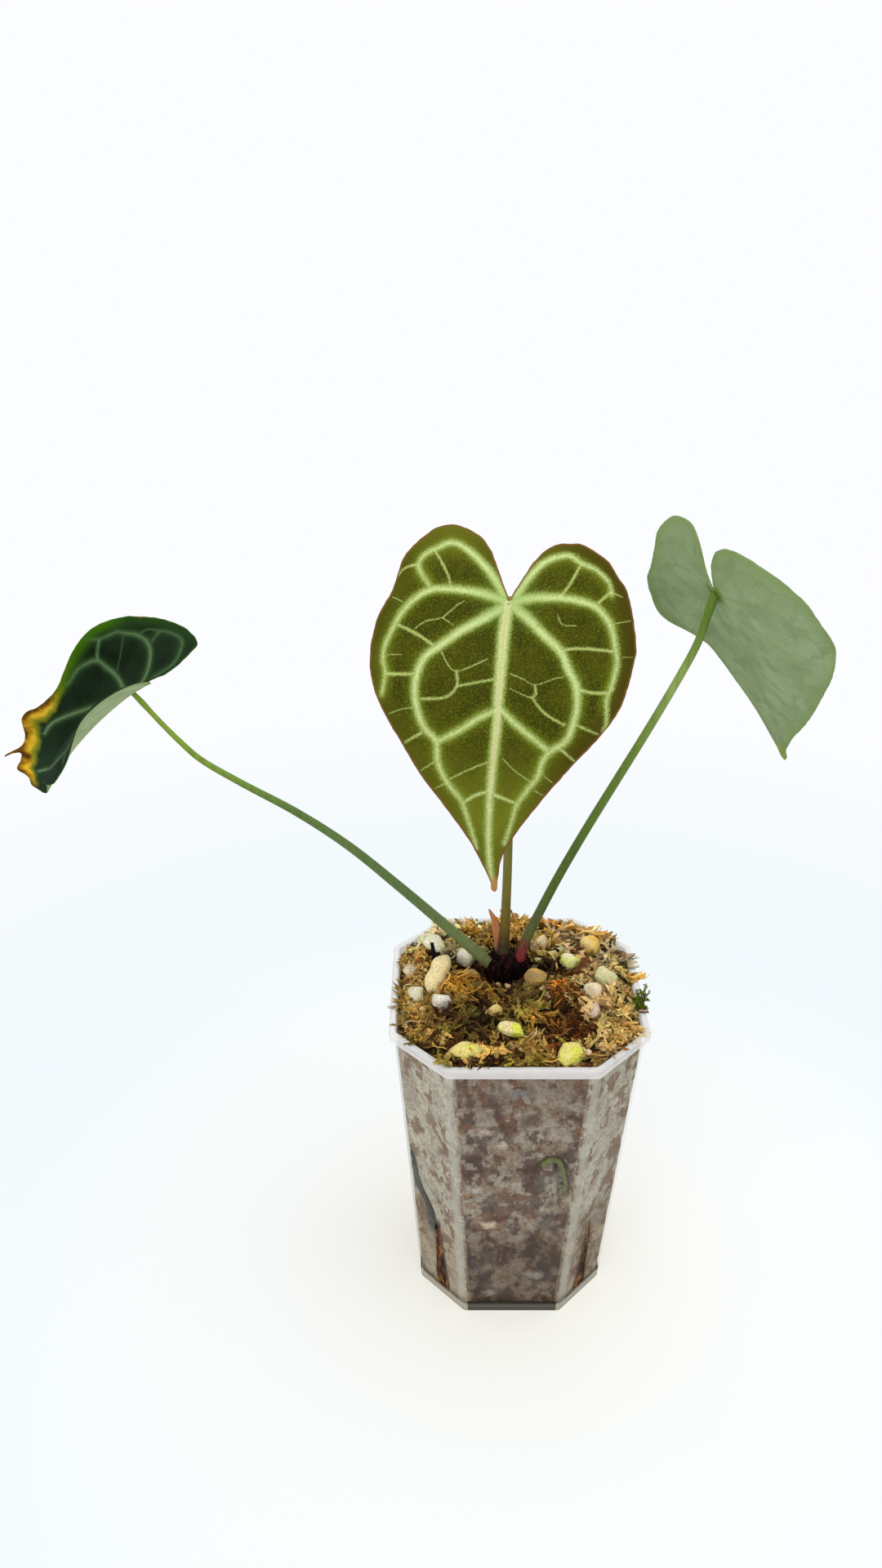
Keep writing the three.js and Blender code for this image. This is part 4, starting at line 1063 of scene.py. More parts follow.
for side, (route, base, top, flare, steps) in PETIOLES.items():
    bm = bmesh.new()
    layer = bm.verts.layers.float.new("along")

    def thickness(share):
        swell = 0.22 * math.exp(-((share - 0.975) / 0.02) ** 2)
        foot = (flare - base) * math.exp(-share / 0.065)
        return (base + (top - base) * share) * (1 + swell) + foot

    grow_stem(bm, smooth_route(route, STALK_STEPS), thickness, STALK_SIDES, layer, groove=0.1)
    node = "petiole_" + side
    make_piece(node + "_stalk", bm, stalk_material(node + "_skin", steps), [node])

# Crown.
# The short stem that carries the leaves, wrapped in the stubs of old sheaths, which
# have rotted to purple-black fibre.
NOISE_SEED = 8
noise.seed_set(NOISE_SEED)  # noise_vector takes its seed from the clock otherwise
bm = bmesh.new()
body = bmesh.ops.create_uvsphere(bm, u_segments=48, v_segments=28, radius=1)["verts"]
for vert in body:
    around = math.atan2(vert.co.y, vert.co.x)
    rib = 0.12 * math.cos(8 * around)
    rib += 0.09 * noise.noise(vert.co * 5) + 0.05 * noise.noise(vert.co * 14)
    grown = 1 + rib * (1 - 0.6 * vert.co.z ** 2)
    vert.co = Vector((vert.co.x * 6.4 * grown, vert.co.y * 6.3 * grown, vert.co.z * 8.4)) + CROWN
for place, size in (((-6.2, 7.2, 106.3), (2.7, 3.3, 5.4)), ((0.8, 7.4, 104.5), (3, 3, 4.6))):
    shape = Matrix.Translation(place) @ Matrix.Diagonal((*size, 1))
    lobe = bmesh.ops.create_uvsphere(bm, u_segments=24, v_segments=14, radius=1, matrix=shape)
    for vert in lobe["verts"]:
        vert.co += noise.noise_vector(vert.co * 0.5) * 0.5
SHEATH_STUBS, FIBRES = 15, 320
draw = random.Random(4)
for k in range(SHEATH_STUBS):
    around = k * 2.4
    width = draw.uniform(1.6, 2.8)
    tall = draw.uniform(7, 11)
    foot = draw.uniform(100, 104.5)
    chain = None
    for step in range(6):
        rise = step / 5
        reach = 6.4 - 2.4 * rise + draw.uniform(-0.1, 0.2)
        points = []
        for j in range(5):
            across = (j / 4 - 0.5) * width * (1 - rise ** 2.2) / reach * 1.6
            angle = around + across
            points.append(CROWN + Vector((math.cos(angle) * reach, math.sin(angle) * reach,
                                          foot + tall * rise - CROWN.z)))
        chain = raise_ring(bm, chain, points, False) if chain else first_ring(bm, points, False)
for k in range(FIBRES):
    around = draw.uniform(0, math.tau)
    start = CROWN + Vector((math.cos(around) * 5.2, math.sin(around) * 5, draw.uniform(-3, 6.5)))
    out = Vector((math.cos(around), math.sin(around), 0))
    route = [start, start + out * draw.uniform(0.8, 1.6) + Vector((0, 0, draw.uniform(-1.5, 1))),
             start + out * draw.uniform(1, 3.4) + Vector((draw.uniform(-1, 1), draw.uniform(-1, 1),
                                                         draw.uniform(-4, 1)))]
    grow_stem(bm, smooth_route(route, 6), lambda share: 0.28 - 0.14 * share, 3)

crown_skin, tree, shader = new_material("rotted_sheath_fibre", 0.7, 0.06)
threads = cloud(tree, 1.1, 4, 0.65, 0.15)
tint = colour_steps(tree, threads, [
    (0.4, (0.001, 0.0003, 0.0003)), (0.52, (0.005, 0.001, 0.001)),
    (0.64, (0.05, 0.008, 0.010)),
])
dress(tree, shader, tint, threads, 0.7, 0.6)
make_piece("crown_sheaths", bm, crown_skin, ["crown"])

# Cataphyll.
# The papery sheath that covered the middle leaf as it grew. It has dried pink, stands
# beside the stalk and curls in at its edges.
bm = bmesh.new()
SHEATH_RINGS = 25
route = smooth_route([(-4.4, 13, 107), (-5, 13, 113), (-4.9, 12.9, 119.3), (-5.9, 12.8, 123.3),
                      (-7.9, 12.7, 127)], SHEATH_RINGS)
rises = np.linspace(0, 1, SHEATH_RINGS)
widths = np.interp(rises, [0, 0.3, 0.5, 0.62, 0.8, 0.92, 1],
                   [0.8, 0.85, 1.5, 1.75, 1.4, 0.7, 0.2])
chain = None
for rise, centre, radius in zip(rises, route, widths):
    points = []
    for k in range(13):
        share = k / 12 - 0.5
        angle = -2.2 + share * 2.5
        ripple = 1 + 0.08 * math.sin(rise * 17 + share * 6) + 0.5 * abs(share) ** 3
        points.append(centre + Vector((math.cos(angle), math.sin(angle), 0)) * radius * ripple)
    chain = raise_ring(bm, chain, points, False) if chain else first_ring(bm, points, False)
outer = bmesh.ops.extrude_face_region(bm, geom=bm.faces[:], use_keep_orig=True)["geom"]
bm.normal_update()
for vert in [part for part in outer if isinstance(part, bmesh.types.BMVert)]:
    vert.co += Vector((-0.2, -0.28, 0))
bmesh.ops.recalc_face_normals(bm, faces=bm.faces)

sheath, tree, shader = new_material("dry_pink_sheath", 0.6)
rise = fade(tree, parts_of(tree, place_mm(tree))[2], 108, 127)
rise = scaled(tree, cloud(tree, 3, 3), 0.25, calc(tree, "SUBTRACT", rise, 0.12))
tint = colour_steps(tree, rise, [
    (0.0, (0.1, 0.025, 0.02)), (0.3, (0.42, 0.14, 0.065)), (0.75, (0.49, 0.165, 0.06)),
    (0.95, (0.42, 0.155, 0.025)),
])
lines = cloud(tree, 0.8, 2, 0.5, 0.08)
tint = coat(tree, tint, (0.52, 0.28, 0.18), fade(tree, lines, 0.45, 0.7), 0.35)
dress(tree, shader, tint, lines, 0.5, 0.3)
make_piece("cataphyll_sheath", bm, sheath, ["cataphyll"])

# Roots, stub and twig.
# A dark root and a green one run down inside the wall. A dead root end stands in the
# moss at the back left, and a thin black twig lies on it at the right.
ROOTS = {  # route, radius at both ends, sides of the ring, darkest and lightest colour
    "root_dark": (WALL_ROOTS["root_dark"], 1.75, 0.9, 14,
                  (0.004, 0.005, 0.004), (0.022, 0.025, 0.022)),
    "root_green": (WALL_ROOTS["root_green"], 0.95, 0.6, 12,
                   (0.09, 0.10, 0.028), (0.16, 0.17, 0.045)),
    "root_stub": ([(-25.2, 13.2, 104.5), (-25, 13.2, 109), (-25.6, 13, 114)], 0.8, 0.6, 12,
                  (0.003, 0.002, 0.002), (0.012, 0.009, 0.006)),
    "twig": ([(15, 12.5, 106.5), (13.6, 9, 111.6), (11, 3.2, 111.8), (7.2, -4, 107)],
             0.4, 0.35, 8, (0.006, 0.003, 0.002), (0.035, 0.018, 0.008)),
}
for node, (route, start, end, sides, dark, light) in ROOTS.items():
    material, tree, shader = new_material(node + "_bark", 0.7, 0.12)
    bark = cloud(tree, 1.3, 4, 0.65)
    tint = coat(tree, dark, light, fade(tree, bark, 0.35, 0.7))
    dress(tree, shader, tint, bark, 0.5, 0.4)
    bm = bmesh.new()

    def knobbly(share):
        return (start + (end - start) * share) * (1 + 0.06 * math.sin(share * 40))

    grow_stem(bm, smooth_route(route, 46), knobbly, sides)
    for vert in bm.verts:
        vert.co += noise.noise_vector(vert.co * 0.9) * 0.1
    make_piece(node + "_skin", bm, material, [node])

# Blades.
# Heart-shaped leaves with a velvet upper face, a net of pale veins and a matte,
# grey-green underside. Each is one living sheet that bends with its midrib, so it is
# drawn flat, with its veins as edges of the mesh, and then bent into place.
BLADE_CREASE = 2.5
MARGIN_WAVE = 0.5
BLADE_THICKNESS = 0.62

# An outline half runs from the sinus edge round the lobe towards the tip, as
# (distance from the midrib, distance along it). The left half has positive distances.
LEAVES = {
    "middle": dict(
        joint=MIDDLE_JOINT, along=(-0.05, -0.63, -0.78), up=(-0.06, -0.78, 0.63),
        droop=0.006, lobe_droop=0.008, fold=(0.1, 0.1), curl=(-0.008, -0.008), twist=(0, 0),
        wave=0.5, tip=(1, 75),
        left=[(5, -13.4), (7.5, -17), (11.2, -19.5), (15.3, -20.8), (19.2, -20), (22.4, -17.6),
              (25.6, -14.3), (28, -10.7), (30.2, -2.1), (33.5, 5.4), (35.2, 14.2), (33.9, 22.9),
              (30.2, 30.7), (24.9, 39), (20.5, 45.6), (14.1, 53.4), (8, 61.4), (4.3, 67.9),
              (2.3, 72), (1.9, 74.2)],
        right=[(5.6, -10.1), (8.7, -13.7), (11.9, -15.6), (15.2, -15.9), (18.1, -15.8),
               (21.7, -13.8), (25.1, -11.2), (27.7, -7.1), (30.1, -2.7), (32.3, 9), (32.1, 15),
               (28.9, 26.9), (23.1, 35.4), (17, 42.3), (9.7, 51.3), (3.6, 60), (0.5, 66),
               (-0.2, 71.5), (-0.4, 74.2)],
    ),
    "left": dict(
        joint=LEFT_JOINT, along=(-0.75, 0.29, -0.59), up=(-0.65, -0.21, 0.73),
        droop=0.006, lobe_droop=0.035, fold=(-0.09, 0.95), curl=(0.03, -0.032),
        twist=(0.0014, -0.00102), wave=2.1, tip=(0.6, 60),
        left=[(0.8, -9.7), (3.8, -12.7), (9, -15.3), (12.8, -16.4), (17.2, -13.5), (20.4, -9.4),
              (24.6, -1.2), (27.4, 5), (28.3, 12), (25.2, 20.4), (22.8, 26.2), (20.7, 32),
              (20.3, 36.9), (20.9, 41.1), (22.5, 43.2), (22.7, 46), (20.5, 49.4), (18.7, 52.8),
              (18.8, 56.6), (22.4, 59.6), (17.9, 58.4), (16.5, 61.6), (16.2, 65.3), (12.1, 67.3),
              (10.2, 69.6), (7.5, 68.7), (5.1, 67.2), (2.4, 63.8)],
        right=[(0.8, -4.6), (4, -7.6), (8.5, -9.4), (13.5, -9.6), (18.5, -8.6), (22.8, -5.6),
               (25.8, -1.6), (27.5, 4), (28.3, 11), (27.6, 18), (25, 24.5), (20.5, 31.5),
               (15.4, 38), (10.2, 44.2), (5.8, 49.4), (3, 54), (1.3, 58)],
    ),
    "right": dict(
        joint=RIGHT_JOINT, along=(0.48, 0.35, -0.8), up=(0.67, 0.44, 0.59),
        droop=0.0015, lobe_droop=-0.032, fold=(-0.33, 0.58), curl=(0.032, -0.032), twist=(0, 0),
        wave=3.7, tip=(0, 69.5),
        left=[(1.6, -9.5), (3, -12.6), (5, -14.6), (8.2, -15.7), (13.2, -15.3), (18.5, -13.3),
              (23.5, -9.6), (27.6, -3.3), (29.4, 3), (30.1, 10), (29.4, 17.5), (27.1, 24.4),
              (23.5, 30.6), (17.7, 40.6), (13, 47.5), (8.5, 53.5), (4, 60.5), (1.8, 64.5),
              (1.2, 67.8)],
        right=[(1.2, -10), (2, -13), (4.5, -16.2), (8.4, -17.9), (14.5, -17.6), (18, -15.2),
               (21.6, -10.6), (23.8, -4.6), (27.1, 2.2), (30.4, 7.2), (32.8, 13.5), (33, 20),
               (30.5, 25), (25, 30), (20.5, 34), (17.5, 40), (13.3, 47.5), (8.5, 54), (4, 60.5),
               (1.8, 64.5), (1.2, 67.8)],
    ),
}

# Veins on the flat middle leaf: half width at the start and at the end, then points.
# The rank is 1 for the midrib and the main curves, 2 for cross veins, 3 for the finest.
VEINS = [
    (1, 1.51, 0.52, [(0.2, 0.9), (0.9, 7.6), (1.3, 15.6), (1.7, 25.3), (1.9, 33.1), (2.5, 41.4),
                     (3, 51.1), (3, 60.9), (2.3, 68.9), (1.5, 73.6)]),
    (1, 1.01, 0.34, [(1.3, -1.2), (4.1, -5.9), (8.2, -10.7), (12.3, -14.2), (15.6, -15.3),
                   (18.9, -13.8), (22.1, -12), (23.6, -8.7), (21, -4.1), (20.2, -2.3)]),
    (1, 1.06, 0.23, [(1.2, 0.2), (6.5, -1.3), (11.7, -2.1), (16.9, -2.4), (20.2, -2), (24, 0.4),
                    (27.2, 4.2), (29.3, 8.2), (31.1, 12.2), (31.5, 16.2), (30.7, 20.2),
                    (31.4, 25.5)]),
    (1, 1.12, 0.29, [(1.1, 1.9), (6.2, 5.2), (11.9, 8.7), (16.9, 12.5), (20.6, 15.5), (22.4, 19.5),
                    (22.9, 24.1), (22, 29.2), (19.9, 33.7), (16.9, 36.8), (16.4, 41.9), (13.9, 47),
                    (10.2, 51.4), (8.5, 55.8), (6.7, 61), (6, 63.6)]),
    (1, 0.67, 0.57, [(2.4, 28.6), (6.5, 30.7), (11.5, 34.1), (16.5, 36.8)]),
    (2, 0.38, 0.3, [(3.6, 48.9), (7.1, 50.3), (9.6, 52)]),
    (1, 1.01, 0.29, [(-1.7, -1.2), (-4.4, -5.4), (-8.8, -10.4), (-14.6, -12.4), (-17.9, -10.4),
                    (-21.8, -8.8), (-25.1, -5.5), (-25.9, -2.1)]),
    (1, 1.06, 0.23, [(-1.4, 0.5), (-6.5, -0.6), (-13, -0.7), (-18.1, 0.1), (-22.1, 1.6),
                    (-25.4, 5.5), (-26.8, 10), (-27.6, 15.9), (-26.5, 21.2), (-25.3, 25.1),
                    (-25.5, 30.9), (-24.9, 32.8)]),
    (1, 1.12, 0.29, [(-1.1, 1.5), (-5.5, 5.5), (-9.4, 9.4), (-13.4, 13.3), (-15.5, 17.8),
                    (-17.5, 21.6), (-18, 26.7), (-17.2, 31.2), (-15.5, 35.7), (-11.7, 38.4),
                    (-9.9, 41), (-8.8, 44.9), (-6.4, 48.2), (-3.9, 52.1), (-2.8, 56.1),
                    (-1.1, 62.1)]),
    (1, 0.67, 0.57, [(0.8, 28.5), (-2.5, 31.6), (-6.5, 34.7), (-11.1, 38.1)]),
    (2, 0.36, 0.3, [(1.9, 49.8), (-0.7, 50.7), (-3.9, 51.8)]),
    (2, 0.2, 0.16, [(19.6, -12.9), (17.6, -9.7), (15.6, -5.6), (15.1, -3.4)]),
    (2, 0.28, 0.12, [(23.5, -9.4), (27.3, -8.2), (29.2, -5.7)]),
    (3, 0.16, 0.1, [(27.3, 1.2), (29.8, -0.1)]),
    (2, 0.3, 0.26, [(27.9, 7.3), (23, 9.7), (18.5, 12.6)]),
    (3, 0.16, 0.14, [(23.4, 8.2), (20.9, 6.4), (16.8, 5.4), (13.5, 2.4), (11.3, 0.8)]),
    (3, 0.14, 0.1, [(16.8, 5.4), (13.9, 7.2)]),
    (2, 0.34, 0.3, [(30.5, 20), (26.6, 20.2), (22.8, 19.9)]),
    (3, 0.1, 0.08, [(31.6, 15), (26.9, 15)]),
    (3, 0.16, 0.14, [(16.4, 14.3), (14.6, 17.7), (12.5, 19.1), (8.3, 17.5), (4.9, 15.7)]),
    (2, 0.2, 0.2, [(12.5, 19.1), (12.3, 22.9), (15.1, 25.8), (21.1, 26.3)]),
    (2, 0.18, 0.18, [(12.3, 22.9), (7.5, 21.8), (2.7, 20.8)]),
    (3, 0.1, 0.12, [(29.2, 30.2), (26, 29), (23.3, 28.6)]),
    (2, 0.14, 0.26, [(24.8, 37.3), (20.8, 34.9)]),
    (3, 0.1, 0.2, [(20.5, 44.3), (17.1, 41.9)]),
    (3, 0.08, 0.16, [(16.9, 48.7), (13.5, 46.9)]),
    (3, 0.18, 0.18, [(12.9, 46), (8.4, 43.6), (3.9, 41.7)]),
    (2, 0.26, 0.24, [(-17.8, -9.7), (-15, -3.9), (-13.1, -1.4)]),
    (2, 0.26, 0.24, [(-25.7, -2.9), (-22.6, 0.3)]),
    (3, 0.2, 0.1, [(-25.7, -2.9), (-28.6, -1.6)]),
    (3, 0.12, 0.08, [(-12.4, 4), (-13.6, 6.4), (-17, 6.6)]),
    (2, 0.28, 0.28, [(-13, 13.1), (-18.3, 12.4), (-26.3, 12.6)]),
    (3, 0.14, 0.08, [(-26.2, 5.8), (-30.8, 4.6)]),
    (2, 0.3, 0.3, [(-18.1, 22.8), (-21.5, 23.5), (-25.5, 23.3), (-26.9, 22.1)]),
    (3, 0.1, 0.1, [(-1, 19.2), (-4.4, 20.6), (-7.3, 22), (-11.8, 20.4), (-14.3, 19.8)]),
    (2, 0.17, 0.17, [(-7.3, 22), (-7.7, 24.5), (-6.9, 25.4), (-10.4, 29.3), (-15, 31.7)]),
    (3, 0.08, 0.12, [(-1.1, 23), (-4.6, 24.6), (-6.9, 25.4)]),
    (3, 0.1, 0.12, [(0, 40.7), (-3, 43.5), (-7.1, 46.2)]),
    (2, 0.24, 0.1, [(-14.1, 37.7), (-17.9, 40.7)]),
    (2, 0.2, 0.12, [(-17.8, 31.6), (-23.3, 33.7)]),
    (3, 0.12, 0.08, [(-10.4, 44.6), (-12.5, 46.2)]),
    (3, 0.12, 0.08, [(-8.3, 48.4), (-10.3, 49.5)]),
    (3, 0.08, 0.06, [(-29.3, 13.9), (-31.6, 13.7)]),
]

# The left leaf has a simpler net. These are its midrib and its left half; the right half
# mirrors the first two veins and has one that runs near its margin.
LEFT_LEAF_VEINS = [
    (1, 0.6, 0.4, [(0.2, 0.9), (0, 15), (0.2, 30), (0.6, 45), (0.6, 57)]),
    (1, 0.3, 0.15, [(0.2, -4.8), (3.7, -10.8), (8.8, -12.2), (14.5, -11.4), (18.4, -5.6),
                    (16.2, -2.9)]),
    (1, 0.8, 0.3, [(0.6, -0.4), (3.1, -2.3), (11, -2.4), (16.1, -1.2), (20, 1.7), (22.4, 5.2),
                   (23.9, 7.4), (24.5, 12.4), (26.6, 15.3)]),
    (1, 0.85, 0.5, [(0.5, 4.5), (5.7, 8.6), (12.2, 12.2), (16.1, 14.7), (19.3, 16.4), (20.3, 20.1),
                    (20.5, 23), (19.5, 27.7), (19.4, 29.5)]),
    (1, 0.75, 0.6, [(0.6, 12), (5.9, 20), (10.4, 30.6), (13.7, 39.6), (14.7, 43.6), (14.6, 47.9)]),
    (1, 0.55, 0.6, [(0, 41), (4.3, 52.2), (10, 62.1)]),
    (2, 0.5, 0.45, [(19.3, 16.4), (24.5, 12.4)]),
    (2, 0.1, 0.04, [(12.4, 11.6), (16.5, 8.8), (21.9, 5.9)]),
    (2, 0.16, 0.14, [(18.4, -5.6), (20.2, -1.5), (20, 1.7)]),
    (1, 0.3, 0.5, [(-25.5, 8), (-22, 18), (-17, 28), (-13, 34)]),
]


def smooth_flat(points, spacing):
    """Evenly spaced points on a smooth flat curve."""
    length = sum(math.dist(p, q) for p, q in zip(points, points[1:]))
    count = max(2, round(length / spacing) + 1)
    return [(p.x, p.y) for p in smooth_route([(*p, 0) for p in points], count)]


def bent(leaf, flat):
    """Where points of the flat leaf lie once it is folded, curled and drooped."""
    side, distance = flat[:, 0], flat[:, 1]
    on_left = side >= 0
    width = np.abs(side)
    fold = np.where(on_left, *leaf["fold"])
    curl = np.where(on_left, *leaf["curl"]) + np.where(on_left, *leaf["twist"]) * distance
    steps = 24
    reach = np.zeros(len(flat))
    lift = np.zeros(len(flat))
    for step in range(steps):
        middle = (step + 0.5) * width / steps
        angle = fold * (1 - np.exp(-middle / BLADE_CREASE)) + curl * middle
        reach += np.cos(angle) * width / steps
        lift += np.sin(angle) * width / steps
    lift += MARGIN_WAVE * (width / 30) ** 3 * np.sin(distance * 0.28 + leaf["wave"])
    turn = np.where(distance >= 0, leaf["droop"], leaf["lobe_droop"])
    angle = turn * distance
    along = Vector(leaf["along"]).normalized()
    up = Vector(leaf["up"])
    up = (up - along * up.dot(along)).normalized()
    across = along.cross(up)
    part = [reach * np.sign(side), np.sin(angle) / turn + lift * np.sin(angle),
            (np.cos(angle) - 1) / turn + lift * np.cos(angle)]
    axes = [np.array(axis) for axis in (across, along, up)]
    return np.array(leaf["joint"]) + sum(np.outer(p, axis) for p, axis in zip(part, axes))


def facing(leaf, flat):
    """The unit normal out of the upper face at points of the flat leaf."""
    step = 0.05
    over = bent(leaf, flat + [step, 0]) - bent(leaf, flat - [step, 0])
    down = bent(leaf, flat + [0, step]) - bent(leaf, flat - [0, step])
    out = np.cross(over, down)
    return out / np.linalg.norm(out, axis=1)[:, None]


def distance_to(points, chain):
    """Distance from points to a chain, and the share of the chain at the nearest spot."""
    best = np.full(len(points), 1e9)
    share = np.zeros(len(points))
    chain = np.array(chain)
    count = len(chain) - 1
    for k in range(count):
        start, way = chain[k], chain[k + 1] - chain[k]
        t = np.clip(((points - start) @ way) / (way @ way + 1e-12), 0, 1)
        gap = np.linalg.norm(points - start - t[:, None] * way, axis=1)
        nearer = gap < best
        best[nearer] = gap[nearer]
        share[nearer] = (k + t[nearer]) / count
    return best, share


def fitted_veins(leaf):
    """The middle leaf's net, or another leaf's own, or the first stretched to its size."""
    if leaf is LEAVES["middle"]:
        return VEINS
    if leaf is LEAVES["left"]:
        mirrored = [
            (rank, start, end, [(-a, b * 0.92 - 0.5) for a, b in points])
            for rank, start, end, points in LEFT_LEAF_VEINS[1:3]
        ]
        return [*LEFT_LEAF_VEINS, *mirrored]
    stretch_left = max(p[0] for p in leaf["left"]) / 35.2
    stretch_right = max(p[0] for p in leaf["right"]) / 32.3
    stretch_down = leaf["tip"][1] / 75
    lobe = min(p[1] for p in leaf["left"]) / -20.8
    veins = []
    for rank, start, end, points in VEINS:
        moved = []
        for a, b in points:
            across = (stretch_left if a >= 0 else stretch_right) * a
            moved.append((across, b * (stretch_down if b >= 0 else lobe)))
        veins.append((rank, start * 0.85, end * 0.85, moved))
    return veins


def inside_of(points, shore):
    """Which points lie inside a closed outline."""
    inside = np.zeros(len(points), bool)
    for (ax, ay), (bx, by) in zip(shore[:-1], shore[1:]):
        if ay != by:
            crosses = (ay > points[:, 1]) != (by > points[:, 1])
            inside ^= crosses & (points[:, 0] < (bx - ax) * (points[:, 1] - ay) / (by - ay) + ax)
    return inside


def kept_inside(chain, shore, cell):
    """The first run of a vein that stays clear of the margin."""
    chain = np.array(chain)
    clear = inside_of(chain, shore) & (distance_to(chain, shore)[0] > cell * 0.6)
    start = int(np.argmax(clear))
    stops = np.flatnonzero(~clear[start:])
    run = chain[start:start + stops[0]] if len(stops) else chain[start:]
    return [(float(a), float(b)) for a, b in run]


def flat_mesh(leaf, veins, cell):
    """A triangle mesh of the flat leaf, with the margin and the veins as edges."""
    left = smooth_flat([*leaf["left"], leaf["tip"]], cell)
    right = smooth_flat([*[(-a, b) for a, b in leaf["right"]], leaf["tip"]], cell)
    sinus_left = smooth_flat([(0, 0), left[0]], cell)
    sinus_right = smooth_flat([right[0], (0, 0)], cell)
    margin = [*sinus_left, *left[1:], *reversed(right[:-1]), *sinus_right[1:-1]]
    margin = [(a + 0.12 * noise.noise(Vector((a, b, 1)) * 0.6),
               b + 0.12 * noise.noise(Vector((a, b, 7)) * 0.6)) for a, b in margin]
    shore = np.array(margin + margin[:1])
    chains = [kept_inside(smooth_flat(points, cell), shore, cell) for *_, points in veins]
    lines = np.array([point for chain in chains for point in chain])
    fill = []
    row = 0
    low, high = shore.min(0), shore.max(0)
    y = low[1]
    while y < high[1]:
        xs = np.arange(low[0] + (row % 2) * cell / 2, high[0], cell)
        fill.append(np.column_stack([xs, np.full(len(xs), y)]))
        y += cell * 0.866
        row += 1
    fill = np.concatenate(fill)
    fill = fill[inside_of(fill, shore)]
    clear = distance_to(fill, shore)[0] > cell * 0.45
    fill = fill[clear]
    keep = np.ones(len(fill), bool)
    for chunk in range(0, len(fill), 2000):
        part = fill[chunk:chunk + 2000]
        gap = np.linalg.norm(part[:, None] - lines[None], axis=2).min(1)
        keep[chunk:chunk + 2000] = gap > cell * 0.45
    fill = fill[keep]
    points = [Vector(p) for p in margin]
    rim = [(k, (k + 1) % len(margin)) for k in range(len(margin))]
    crease = []
    for chain in chains:
        first = len(points)
        points += [Vector(p) for p in chain]
        crease += [(first + k, first + k + 1) for k in range(len(chain) - 1)]
    points += [Vector(p) for p in fill]
    face = [list(range(len(margin)))]
    verts, _, faces, *_ = delaunay_2d_cdt(points, rim + crease, face, 1, 1e-4)
    return np.array([(p.x, p.y) for p in verts]), faces, shore


def blade_mesh(leaf, veins, cell):
    """The bent blade, two faces thick, with its vein, glow and margin marks."""
    flat, faces, shore = flat_mesh(leaf, veins, cell)
    field = np.full(len(flat), -2.0)
    body = np.full(len(flat), 99.0)
    for rank, start, end, points in veins:
        gap, share = distance_to(flat, smooth_flat(points, 1.2))
        half = start + (end - start) * share
        field = np.maximum(field, (half - gap) * (1, 1.7, 2.6)[rank - 1] - (0, 0.1, 0.3)[rank - 1])
        if rank == 1:
            body = np.minimum(body, gap)
    midrib_gap = distance_to(flat, smooth_flat(veins[0][3], 1.2))[0]
    edge = distance_to(flat, shore)[0]
    glow = np.exp(-body / 1.9)
    bulge = 0.3 * (1 - np.exp(-np.minimum(body, 6) / 1.6)) - 0.1 * np.clip(field + 0.3, 0, 1)
    bulge *= np.clip(edge / 4, 0, 1)
    normal = facing(leaf, flat)
    thick = BLADE_THICKNESS * (0.45 + 0.55 * (1 - np.exp(-edge / 1.2)))
    lower = bent(leaf, flat) + normal * (bulge - thick / 2)[:, None]
    upper = bent(leaf, flat) + normal * (bulge + thick / 2)[:, None]
    bm = bmesh.new()
    marks = bm.verts.layers.float_color.new("marks")
    spread = bm.verts.layers.float_vector.new("spread")
    sheet = [bm.verts.new(point) for point in lower]
    for face in faces:
        bm.faces.new([sheet[k] for k in face])
    for vert, place, s, g, e, rib in zip(sheet, flat, field, glow, edge, midrib_gap):
        vert[marks] = (s / 4 + 0.5, g, min(1, e / 10), 0)
        vert[spread] = (place[0] / 100, place[1] / 100, rib / 100)
    bm.verts.index_update()
    top_at = {tuple(vert.co): k for k, vert in enumerate(sheet)}
    grown = bmesh.ops.extrude_face_region(bm, geom=bm.faces[:], use_keep_orig=True)["geom"]
    for vert in grown:
        if isinstance(vert, bmesh.types.BMVert):
            mark = vert[marks]
            vert[marks] = (mark[0], mark[1], mark[2], 1)
            vert.co = upper[top_at[tuple(vert.co)]]
    bmesh.ops.recalc_face_normals(bm, faces=bm.faces)
    return bm


def vein_group():
    """Fuzzy edges of a vein in velvet: the field in, a pale mask and a fine grain out."""
    group = bpy.data.node_groups.new("velvet_vein_edge", "ShaderNodeTree")
    group.interface.new_socket("Field", in_out="INPUT", socket_type="NodeSocketFloat")
    soft = group.interface.new_socket("Fuzz", in_out="INPUT", socket_type="NodeSocketFloat")
    soft.default_value = 0.3
    group.interface.new_socket("Mask", in_out="OUTPUT", socket_type="NodeSocketFloat")
    group.interface.new_socket("Grain", in_out="OUTPUT", socket_type="NodeSocketFloat")
    into = group.nodes.new("NodeGroupInput")
    out = group.nodes.new("NodeGroupOutput")
    grain = cloud(group, 0.5, 2, 0.8)
    wobble = times(group, calc(group, "SUBTRACT", grain, 0.5), into.outputs["Fuzz"])
    slow = times(group, calc(group, "SUBTRACT", cloud(group, 2.4, 2), 0.5), 0.4)
    field = calc(group, "ADD", calc(group, "ADD", into.outputs["Field"], wobble), slow)
    mask = fade(group, field, -0.95, 1.0)
    group.links.new(mask, out.inputs["Mask"])
    group.links.new(grain, out.inputs["Grain"])
    return group


VEIN_EDGE = vein_group()


